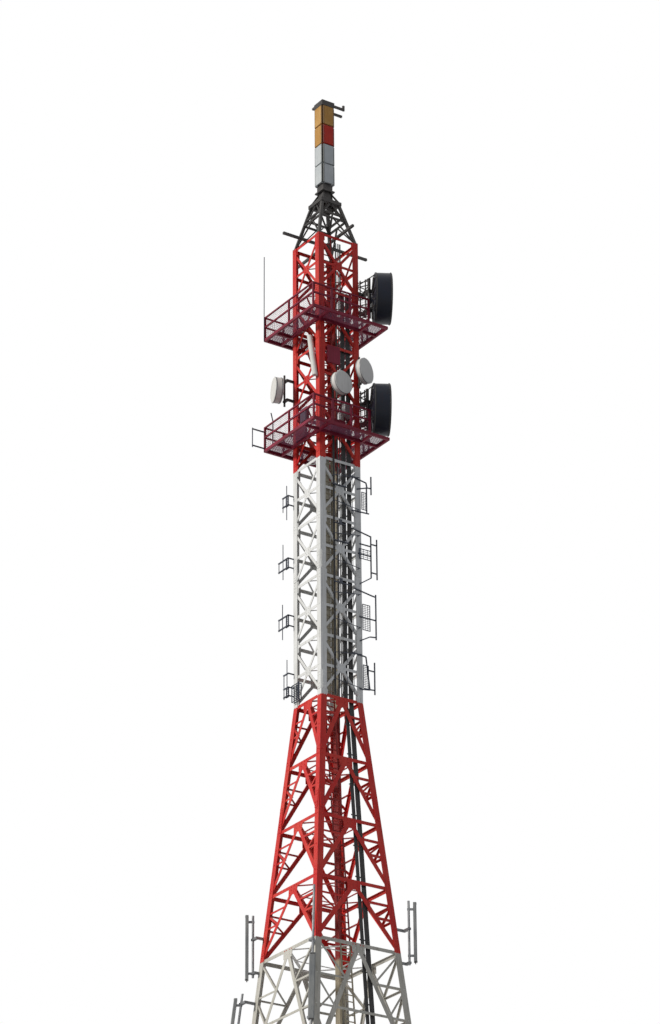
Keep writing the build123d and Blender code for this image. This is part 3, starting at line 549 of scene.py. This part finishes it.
def zigzag(floor, base, swing, low):
    """one strand across the floor, open over the hatch"""
    under, over = low + STRAND_INSET, low + FLOOR_THICK - STRAND_INSET
    points, faces, open_end = [], [], True
    for column in range(int(2 * FLOOR_HALF / (MESH_LONG / 2)) + 1):
        x = -FLOOR_HALF + column * MESH_LONG / 2
        y = base + (swing / 2 if column % 2 else -swing / 2)
        if abs(x) < HATCH_HALF and abs(base) < HATCH_HALF:
            open_end = True
            continue
        for dy, z in ((-STRAND / 2, under), (STRAND / 2, under), (STRAND / 2, over), (-STRAND / 2, over)):
            points.append(off_axis(x, y + dy, z))
        if not open_end:
            n = len(points) - 4
            faces += [(n - 4 + k, n - 4 + (k + 1) % 4, n + (k + 1) % 4, n + k) for k in range(4)]
        open_end = False
    put(floor, points, faces)


def expanded_floor(name, z):
    floor = ([], [])
    for row in range(int(2 * FLOOR_HALF / MESH_SHORT)):
        swing = MESH_SHORT / 2 * (1 if row % 2 else -1)
        zigzag(floor, -FLOOR_HALF + (row + 0.5) * MESH_SHORT, swing, z)
    for half in (FLOOR_HALF, HATCH_HALF + EDGE_BAR):
        for turn in TURNS:
            spin = turned(turn)
            centre = spin @ Vector((0, -half + EDGE_BAR / 2, 0)) + off_axis(0, 0, z)
            block(floor, centre, spin @ X_WAY, spin @ Y_WAY, UP, 2 * half, EDGE_BAR, FLOOR_THICK)
    piece = make(f"{name}_expanded_floor", floor, floor_paint)
    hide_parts(f"{name}_floor")


for name, z in DECKS.items():
    expanded_floor(name, z)

# Railing infill: upright and level wires, left out where the railing is open beside the drums
WIRE, WIRE_SIDES = 0.0025, 5
WIRE_PITCH = 0.05
WIRE_FOOT = 0.012
RAIL_LINE = DECK_HALF - 0.020
RAIL_HIGH = 0.537
LEVEL_GAPS = 11
OPEN_FRONT, OPEN_RIGHT = 0.507, -0.220
RAIL_RUNS = (((-RAIL_LINE, -RAIL_LINE), (OPEN_FRONT, -RAIL_LINE)),
             ((RAIL_LINE, OPEN_RIGHT), (RAIL_LINE, RAIL_LINE)),
             ((RAIL_LINE, RAIL_LINE), (-RAIL_LINE, RAIL_LINE)),
             ((-RAIL_LINE, RAIL_LINE), (-RAIL_LINE, -RAIL_LINE)))


def railing_wires(name, z):
    wires = ([], [])
    for start, end in RAIL_RUNS:
        a, b = off_axis(*start, z), off_axis(*end, z)
        count = int((b - a).length / WIRE_PITCH)
        for k in range(1, count):
            spot = a.lerp(b, k / count)
            rod(wires, spot + UP * WIRE_FOOT, spot + UP * RAIL_HIGH, WIRE, WIRE_SIDES)
        for k in range(1, LEVEL_GAPS):
            rise = Vector((0, 0, k * RAIL_HIGH / LEVEL_GAPS))
            rod(wires, a + rise, b + rise, WIRE, WIRE_SIDES)
    make(f"{name}_railing_wires", wires, deck_shade_paint)


for name, z in DECKS.items():
    railing_wires(name, z)

# Dishes and drums: front's middle, compass angle, radius and depth
DRUM_AIM = -30
ROUNDS = {"upper_drum": ((1.147, -1.013, 27.492), DRUM_AIM, 0.600, 0.440),
          "lower_drum": ((1.080, -0.985, 24.590), DRUM_AIM, 0.600, 0.440),
          "left_dish": ((-0.975, 0.731, 25.276), 160, 0.300, 0.220),
          "right_dish": ((0.581, -0.818, 25.540), -65, 0.300, 0.160),
          "middle_dish": ((-0.066, -0.828, 25.062), -79, 0.275, 0.185),
          "small_dish": ((0.123, -0.749, 24.410), -64, 0.180, 0.110)}
# Bands round the shroud: how far they stand proud, half their width and their places as shares of the depth
DRUM_BAND, DISH_BAND = (0.010, 0.012, (0.16, 0.94)), (0.006, 0.008, (0.28, 0.9))
BAND_SUNK = 0.002
BAND_SIDES = 72
DRUM_SCREWS, DISH_SCREWS = 24, 12
# width and height of a screw's head
SHROUD_SCREW, PANEL_SCREW, COVER_SCREW = (0.012, 0.007), (0.009, 0.004), (0.009, 0.005)
BACK_RIBS = 12
RIB_FROM, RIB_TO, RIB_FORWARD = 0.26, 0.93, 0.036
RIB_WIDE, RIB_DEEP = 0.018, 0.016


def compass(aim):
    """the level direction at aim degrees from +X"""
    return Vector((cos(radians(aim)), sin(radians(aim)), 0))


def rays(side, up, count, first=0.0):
    """directions round a circle, the first one a share of a step along"""
    for k in range(count):
        t = 2 * pi * (k + first) / count
        yield side * cos(t) + up * sin(t)


def back_ribs(trim, back, way, radius):
    """ribs on the shallow back of a drum"""
    side, up, _ = frame_at(way)
    for ray in rays(side, up, BACK_RIBS):
        a, b = back + ray * radius * RIB_FROM, back + ray * radius * RIB_TO + way * RIB_FORWARD
        lean = (b - a).normalized()
        aside = ray.cross(way)
        backward = lean.cross(aside)
        if backward.dot(way) > 0:
            backward = -backward
        block(trim, (a + b) / 2, aside, lean, backward, RIB_WIDE, (b - a).length, RIB_DEEP)


def round_trim(name, face, aim, radius, depth):
    """bands and cover screws of a dish or drum"""
    way = compass(aim)
    back = Vector(face) + TOWER_AXIS - way * depth
    drum = name.endswith("drum")
    trim = ([], [])
    lip, half, shares = DRUM_BAND if drum else DISH_BAND
    for share in shares:
        middle = depth * share
        low, high = middle - half, middle + half
        inner, outer = radius - BAND_SUNK, radius + lip
        turn_form(trim, back, way, ((inner, low), (outer, low), (outer, high), (inner, high)), BAND_SIDES)
    side, up, _ = frame_at(way)
    for ray in rays(side, up, DRUM_SCREWS if drum else DISH_SCREWS, 0.5):
        hex_bolt(trim, back + way * (depth * shares[-1]) + ray * (radius + lip), ray, *SHROUD_SCREW)
    if drum:
        back_ribs(trim, back, way, radius)
    make(f"{name}_trim", trim, shade_dark_zinc if drum else zinc, SMOOTH)


for name, (face, aim, radius, depth) in ROUNDS.items():
    round_trim(name, face, aim, radius, depth)

# Aerial column: straps between the tiers and screws on the covers
SPIRE_HIGH, HEAD_BEAM, NECK_HIGH, NECK_FLANGE, FOOT_BOX = 1.108, 0.090, 0.290, 0.034, 0.165
COLUMN_LOW = MAST_TOP + SPIRE_HIGH + HEAD_BEAM + NECK_HIGH + NECK_FLANGE
TIERS_LOW = COLUMN_LOW + FOOT_BOX
TIERS, TIER, TIER_GAP = 4, 0.536, 0.038
PANEL_REACH = 0.185
PANEL_SCREW_ASIDE, PANEL_SCREW_EDGE = 0.115, 0.05
STRAP_BACK, STRAP_RISE = 0.104, 0.0095
STRAP_WIDE, STRAP_HIGH, STRAP_DEEP = 0.16, 0.014, 0.045


def column_fastenings():
    screws, straps = ([], []), ([], [])
    for tier in range(TIERS):
        for turn in TURNS:
            spin = turned(turn)
            side, out = spin @ X_WAY, spin @ -Y_WAY
            base = off_axis(0, 0, TIERS_LOW + tier * TIER)
            for across in (-PANEL_SCREW_ASIDE, PANEL_SCREW_ASIDE):
                for rise in (PANEL_SCREW_EDGE, TIER / 2, TIER - PANEL_SCREW_EDGE):
                    hex_bolt(screws, base + out * PANEL_REACH + side * across + UP * rise, out, *PANEL_SCREW)
            for rise in (0.0, TIER - TIER_GAP / 2):
                block(straps, base + out * STRAP_BACK + Vector((0, 0, rise + STRAP_RISE)), side, UP, out,
                      STRAP_WIDE, STRAP_HIGH, STRAP_DEEP)
    make("column_screws", screws, zinc)
    make("column_straps", straps, shade_dark_zinc)


column_fastenings()

# Cable clamps: bars across the bunch of feeder cables
FEEDER_X = (0.126, 0.333)
FEEDER_DEEP, CLAMP_GAP = 0.028, 0.004
FEEDER_INSET = LEG_THICK + LIP + FEEDER_DEEP + CLAMP_GAP
CLAMPS_LOW, CLAMPS_HIGH, CLAMP_PITCH = 0.9, 27.3, 0.724
CLAMP_PAST, CLAMP_HIGH, CLAMP_THICK = 0.05, 0.03, 0.012
CLAMP_BOLTS, CLAMP_BOLTS_PAST, CLAMP_BOLT = (-0.5, -0.02, 0.5), 0.03, (0.010, 0.006)


def cable_clamps():
    clamps = ([], [])
    wide = FEEDER_X[1] - FEEDER_X[0]
    z = CLAMPS_LOW
    while z < CLAMPS_HIGH:
        spot, side, up, out = on_side(0, sum(FEEDER_X) / 2, z, FEEDER_INSET)
        block(clamps, spot, side, up, -out, wide + CLAMP_PAST, CLAMP_HIGH, CLAMP_THICK)
        for share in CLAMP_BOLTS:
            aside = side * share * (wide + CLAMP_BOLTS_PAST)
            hex_bolt(clamps, spot - out * CLAMP_THICK + aside, -out, *CLAMP_BOLT)
        z += CLAMP_PITCH
    make("cable_clamps", clamps, zinc)


cable_clamps()

# Plan bracing of the mast: a flat diamond of bars at every strut
PLAN_WIDE, PLAN_THICK = 0.040, 0.006
PLAN_REACH = MAST_HALF - LEG_THICK - 0.009
PLAN_HALF_BAYS = range(25, 40)
JUST_BELOW = 0.1


def plan_bracing():
    bars = {"red": ([], []), "white": ([], [])}
    for half_bay in PLAN_HALF_BAYS:
        z = half_bay * BAY / 2
        for turn in TURNS:
            spin = turned(turn)
            a, b = spin @ Vector((0, -PLAN_REACH, 0)), spin @ Vector((PLAN_REACH, 0, 0))
            way = (b - a).normalized()
            block(bars[colour_at(z - JUST_BELOW)], a.lerp(b, 0.5) + off_axis(0, 0, z), way, UP.cross(way), UP,
                  (b - a).length - PLAN_WIDE, PLAN_WIDE, PLAN_THICK)
    for colour, paint in TOWER_PAINTS:
        make(f"{colour}_plan_bars", bars[colour], paint)


plan_bracing()

# Tray covers behind the ladder on the white mast, with a screw at each corner
LIPS_BACK = MAST_HALF - LEG_THICK - LIP
COVER_BACK = LIPS_BACK - 0.028
COVER_HIGH, COVER_GAP, COVER_THICK = 0.66, 0.064, 0.003
COVERS_LOW = KNEE + 0.40
COVER_RUNS = ((-0.400, -0.235), (-0.205, -0.085))
COVER_SCREW_ASIDE, COVER_SCREW_RISE = 0.015, 0.020


def tray_covers():
    covers = ([], [])
    z = COVERS_LOW
    while z < WHITE_TOP:
        for left, right in COVER_RUNS:
            middle = off_axis((left + right) / 2, -COVER_BACK, z)
            block(covers, middle, X_WAY, UP, -Y_WAY, right - left, COVER_HIGH, COVER_THICK)
            for a in (-1, 1):
                for b in (-1, 1):
                    aside, rise = (right - left) / 2 - COVER_SCREW_ASIDE, COVER_HIGH / 2 - COVER_SCREW_RISE
                    corner = Vector((a * aside, -COVER_THICK, b * rise))
                    hex_bolt(covers, middle + corner, -Y_WAY, *COVER_SCREW)
        z += COVER_HIGH + COVER_GAP
    make("tray_covers", covers, plate_paint)


tray_covers()

# Conduits of small cables behind the bars of the mast's front: place across and radius
CONDUIT_LOW, CONDUIT_HIGH = KNEE + 0.06, MAST_TOP - 0.09
CONDUITS = ((-0.045, 0.008), (-0.020, 0.010), (0.035, 0.012), (0.070, 0.009), (0.098, 0.011))
CONDUIT_GAP = 0.0005


def front_conduits():
    conduits = ([], [])
    for across, radius in CONDUITS:
        depth = -LIPS_BACK + radius + CONDUIT_GAP
        low, high = off_axis(across, depth, CONDUIT_LOW), off_axis(across, depth, CONDUIT_HIGH)
        rod(conduits, low, high, radius, 10)
    make("front_conduits", conduits, jacket, SMOOTH)


front_conduits()

# Dipole rows on the white mast's front: a boom on two stubs, with rods across it, in every half bay
DIPOLE_OUT = MAST_HALF + 0.075
DIPOLE_LEFT, DIPOLE_RIGHT = -0.215, 0.470
DIPOLE_LIFT, SLANTS = 0.36, (-0.04, 0.05)
WHITE_HALF_BAYS = 8
BOOM, DIPOLE = 0.009, 0.007
STUBS = (0.0, 0.96)
DIPOLES = ((0.16, 0.20), (0.44, 0.27), (0.70, 0.22))
DIPOLE_FORWARD = 0.006


def front_dipoles():
    dipoles = ([], [])
    for k in range(WHITE_HALF_BAYS):
        z = KNEE + k * BAY / 2 + DIPOLE_LIFT
        slant = SLANTS[k % 2]
        left = off_axis(DIPOLE_LEFT, -DIPOLE_OUT, z - slant)
        right = off_axis(DIPOLE_RIGHT, -DIPOLE_OUT, z + slant)
        rod(dipoles, left, right, BOOM)
        for share in STUBS:
            spot = left.lerp(right, share)
            # the left stub reaches the bars behind the legs' flanges, the right one the leg
            reach = DIPOLE_OUT - MAST_HALF + (LEG_THICK if share < 0.5 else 0)
            rod(dipoles, spot, spot + Vector((0, reach, 0)), BOOM)
        for share, high in DIPOLES:
            spot, reach = left.lerp(right, share), Vector((0, 0, high))
            rod(dipoles, spot - Y_WAY * DIPOLE_FORWARD - reach, spot - Y_WAY * DIPOLE_FORWARD + reach, DIPOLE)
    make("front_dipoles", dipoles, aerial_zinc, SMOOTH)


front_dipoles()

# Mounting frames of the drums: posts, rungs and stays between the right leg and each drum's pipe
DRUM_PIPES = {"upper": (0.707, -0.759, 27.492), "lower": (0.640, -0.731, 24.590)}
STAY_LEG = Vector((0.552, -0.500, 0))
RUNG, POST, BRACE, RIM_STAY = 0.013, 0.015, 0.010, 0.012
RUNG_RISES = (-0.47, -0.14, 0.02, 0.36, 0.47)
POST_SHARES, POST_LOW, POST_HIGH = (0.25, 0.7), -0.50, 0.52
BRACES = ((-0.47, -0.14), (0.02, 0.36))
PIPE_TO_HUB, DRUM_HUB, BACK_TO_RIM = 0.0383, 0.030, 0.038
# ends of the stays on the drum's back, across and up, and their rise at the leg
RIM_STAYS = ((0.42, 0.40, 0.40), (0.42, -0.40, -0.42), (-0.42, 0.40, 0.40), (-0.42, -0.40, -0.42))


def drum_stays(name, x, y, z):
    stays = ([], [])
    leg = off_axis(0, 0, z) + STAY_LEG
    pipe = off_axis(0, 0, z) + Vector((x, y, 0))
    for rise in RUNG_RISES:
        rod(stays, leg + UP * rise, pipe + UP * rise, RUNG)
    for share in POST_SHARES:
        spot = leg.lerp(pipe, share)
        rod(stays, spot + UP * POST_LOW, spot + UP * POST_HIGH, POST)
    for low, high in BRACES:
        rod(stays, leg + UP * low, pipe + UP * high, BRACE)
        rod(stays, leg + UP * high, pipe + UP * low, BRACE)
    way = compass(DRUM_AIM)
    side, up, _ = frame_at(way)
    rim = pipe + way * (PIPE_TO_HUB + DRUM_HUB + BACK_TO_RIM)
    for across, above, rise in RIM_STAYS:
        rod(stays, leg + UP * rise, rim + side * across + up * above, RIM_STAY)
    make(f"{name}_drum_stays", stays, shade_dark_zinc, SMOOTH)


for name, place in DRUM_PIPES.items():
    drum_stays(name, *place)

# Grille panels of the side aerials: frames of flat bar with rods across, a cage of two, and a box with a door
GRILLE_BAR, GRILLE_GAP = 0.016, 0.001
GRILLE_PITCH, GRILLE_EDGE = 0.042, 0.015
GRILLE_ROD, GRILLE_POST = 0.005, 0.006
GRILLE_POSTS = (-0.17, 0.17)
# The front ones as left, low, right and high; the left side's as low and high of the CAD's plain panels.
# Their frames are longer and a little higher up.
FRONT_GRILLES = ((0.548, 22.099, 0.700, 22.540), (0.470, 20.869, 0.800, 21.119),
                 (0.541, 19.137, 0.747, 19.767), (0.540, 17.730, 0.690, 18.300))
LEFT_GRILLES = ((22.330, 22.560), (20.775, 21.000), (19.350, 19.600), (17.660, 17.860))
LEFT_LIFT, LEFT_PAST = 0.024, 0.044
FRONT_GRILLE_OFF = 0.024
LEFT_GRILLE_X, LEFT_GRILLE_OFF, LEFT_GRILLE_WIDE = -0.668, 0.055, 0.110
CAGE_Y, CAGE_Z = 0.371, 17.703
CAGE_WIDE, CAGE_HIGH, CAGE_DEEP = 0.288, 0.400, 0.086
BOX_Y, BOX_Z = 0.025, 24.420
BOX_WIDE, BOX_HIGH, BOX_DEEP = 0.250, 0.360, 0.090
DOOR_EDGE, DOOR_THICK = 0.03, 0.004
LATCH, LATCH_SHARE = (0.012, 0.008), 0.36


def grille(shape, centre, side, up, out, wide, high):
    """a reflector of rods in a frame, its back on centre"""
    bar = GRILLE_BAR
    for s in (-1, 1):
        upright, level = centre + side * s * (wide / 2 - bar / 2), centre + up * s * (high / 2 - bar / 2)
        block(shape, upright, side, up, out, bar, high, bar)
        block(shape, level, side, up, out, wide - 2 * (bar + GRILLE_GAP), bar, bar)
    count = int(high / GRILLE_PITCH)
    middle = centre + out * bar / 2
    for k in range(1, count):
        spot = middle + up * (k / count - 0.5) * (high - 2 * GRILLE_EDGE)
        reach = side * (wide / 2 - bar)
        rod(shape, spot - reach, spot + reach, GRILLE_ROD, 6)
    for share in GRILLE_POSTS:
        spot = middle + side * share * wide
        reach = up * (high / 2 - bar)
        rod(shape, spot - reach, spot + reach, GRILLE_POST, 6)


def grille_panels():
    grilles = ([], [])
    for left, low, right, high in FRONT_GRILLES:
        centre = off_axis((left + right) / 2, -MAST_HALF - FRONT_GRILLE_OFF, (low + high) / 2)
        grille(grilles, centre, X_WAY, UP, -Y_WAY, right - left, high - low)
    side, out = -Y_WAY, -X_WAY
    for low, high in LEFT_GRILLES:
        centre = off_axis(LEFT_GRILLE_X, MAST_HALF + LEFT_GRILLE_OFF, (low + high + LEFT_LIFT) / 2)
        grille(grilles, centre, side, UP, out, LEFT_GRILLE_WIDE, high - low + LEFT_PAST)
    cage = off_axis(-MAST_HALF, CAGE_Y, CAGE_Z)
    for depth in (0.0, CAGE_DEEP - GRILLE_BAR):
        grille(grilles, cage + out * depth, side, UP, out, CAGE_WIDE, CAGE_HIGH)
    for a in (-1, 1):
        for b in (-1, 1):
            corner = cage + side * a * (CAGE_WIDE - GRILLE_BAR) / 2 + UP * b * (CAGE_HIGH - GRILLE_BAR) / 2
            rod(grilles, corner, corner + out * CAGE_DEEP, GRILLE_POST, 6)
    box = off_axis(-MAST_HALF + LEG_THICK, BOX_Y, BOX_Z)
    door_wide, door_high = BOX_WIDE - DOOR_EDGE, BOX_HIGH - DOOR_EDGE
    block(grilles, box, side, UP, out, BOX_WIDE, BOX_HIGH, BOX_DEEP)
    block(grilles, box + out * BOX_DEEP, side, UP, out, door_wide, door_high, DOOR_THICK)
    latch_edge = box + out * (BOX_DEEP + DOOR_THICK) + side * (BOX_WIDE / 2 - DOOR_EDGE)
    for s in (-1, 1):
        hex_bolt(grilles, latch_edge + UP * s * BOX_HIGH * LATCH_SHARE, out, *LATCH)
    grille_piece = make("grille_panels", grilles, grille_cover, SMOOTH)
    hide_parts("grey_panels")


grille_panels()

# Sector aerials: place, compass angle, panel's low and high, and the pole's top with its lean, if it has one
SECTORS = (((-1.203, 1.162), 146, 11.219, 12.653, (12.652, 0)),
           ((1.232, -1.181), -34, 11.394, 12.710, (12.756, 0)),
           ((-1.082, -1.037), 236, 9.621, 11.109, (12.722, (-1, -1))),
           ((-1.385, 1.285), 146, 9.365, 10.799, (10.909, (-1, 1))))
SOCKET = ((0, 0), (0.013, 0), (0.013, 0.018), (0.010, 0.020), (0.010, 0.036), (0, 0.036))
SOCKET_ASIDE, SOCKET_FORWARD = 0.040, 0.130
CAP_FORWARD = 0.1651
CAP_WIDE, CAP_HIGH, CAP_THICK = 0.094, 0.022, 0.004


def sector_sockets():
    """end caps and cable sockets of the sector aerials"""
    sockets = ([], [])
    for (x, y), aim, low, high, (pole_top, lean) in SECTORS:
        look = compass(aim)
        side = look.cross(UP)
        way = Vector((-lean[0] * SLOPE, -lean[1] * SLOPE, 1)) if lean else UP
        base = off_axis(x, y, pole_top) + way * (low - pole_top)
        for aside in (-SOCKET_ASIDE, SOCKET_ASIDE):
            turn_form(sockets, base + look * SOCKET_FORWARD + side * aside, -UP, SOCKET, 12)
        for rise in (0.0, high - low - CAP_HIGH):
            cap = base + way * rise + look * CAP_FORWARD
            block(sockets, cap, side, UP, look, CAP_WIDE, CAP_HIGH, CAP_THICK)
    make("sector_sockets", sockets, shade_dark_zinc, SMOOTH)


sector_sockets()

# Room, light and camera
FLOOR_RADIUS = 23
FLOOR_POINTS = 96
# direction to the lamp, strength, spread in degrees and colour
LAMPS = {"key": ((-1.0, 0.06, 0.55), 2.8, 9, "#FFFBF4"), "fill": ((0.5, -1.0, 0.25), 0.10, 40, "#F3F6FF")}
HEADING, PITCH, ROLL = radians(33.84), radians(25.775), radians(-0.417)
CAMERA_PLACE = (-37.918, -57.695, -12.599)
CAMERA_LENS = 124.49


def pale_floor():
    """a pale painted floor, matt"""
    mesh = bpy.data.meshes.new("studio_floor")
    angles = [2 * pi * k / FLOOR_POINTS for k in range(FLOOR_POINTS)]
    ring = [(AXIS + FLOOR_RADIUS * cos(t), AXIS + FLOOR_RADIUS * sin(t), -0.001) for t in angles]
    mesh.from_pydata(ring, [], [tuple(range(FLOOR_POINTS))])
    studio_floor = bpy.data.objects.new("studio_floor", mesh)
    bpy.context.scene.collection.objects.link(studio_floor)
    pale, _, shader, _ = start_finish("pale_floor")
    shader.inputs["Base Color"].default_value = linear("#E6E6E4")
    shader.inputs["Roughness"].default_value = 0.8
    mesh.materials.append(pale)


def white_room():
    """soft light all round, and white where the camera, gloss or glass sees the room itself"""
    world = bpy.data.worlds.new("studio")
    bpy.context.scene.world = world
    world.use_nodes = True
    sky = world.node_tree
    sky.nodes.clear()
    ray = add(sky, "ShaderNodeLightPath")
    seen = add(sky, "ShaderNodeMath", {"operation": "MAXIMUM"},
               {0: ray.outputs["Is Camera Ray"], 1: ray.outputs["Is Glossy Ray"]})
    seen = add(sky, "ShaderNodeMath", {"operation": "MAXIMUM"},
               {0: seen.outputs[0], 1: ray.outputs["Is Transmission Ray"]})
    ambient = add(sky, "ShaderNodeBackground", {"Color": linear("#F4F7FF"), "Strength": 0.28})
    backdrop = add(sky, "ShaderNodeBackground", {"Color": (1, 1, 1, 1), "Strength": 1.0})
    both = add(sky, "ShaderNodeMixShader", None, {0: seen.outputs[0], 1: ambient.outputs[0],
                                                  2: backdrop.outputs[0]})
    add(sky, "ShaderNodeOutputWorld", None, {"Surface": both.outputs[0]})


def studio_lamp(name, source, strength, spread, tint):
    lamp = bpy.data.lights.new(name, "SUN")
    lamp.energy = strength
    lamp.angle = radians(spread)
    lamp.color = linear(tint)[:3]
    lamp_object = bpy.data.objects.new(name, lamp)
    lamp_object.rotation_euler = Vector(source).to_track_quat("Z", "Y").to_euler()
    bpy.context.scene.collection.objects.link(lamp_object)


def low_camera():
    """the photograph's view: from the front left, looking up"""
    forward = Vector((sin(HEADING) * cos(PITCH), cos(HEADING) * cos(PITCH), sin(PITCH)))
    level = Vector((cos(HEADING), -sin(HEADING), 0))
    above = level.cross(forward)
    right = level * cos(ROLL) + above * sin(ROLL)
    top = above * cos(ROLL) - level * sin(ROLL)
    lens = bpy.data.cameras.new("camera")
    lens.lens = CAMERA_LENS
    lens.sensor_width = 36
    lens.clip_end = 1000
    camera = bpy.data.objects.new("camera", lens)
    camera.matrix_world = Matrix((*zip(right, top, -forward, CAMERA_PLACE), (0, 0, 0, 1)))
    bpy.context.scene.collection.objects.link(camera)
    bpy.context.scene.camera = camera


pale_floor()
white_room()
for name, lamp_facts in LAMPS.items():
    studio_lamp(name, *lamp_facts)
low_camera()
bpy.context.scene.view_settings.view_transform = "Standard"
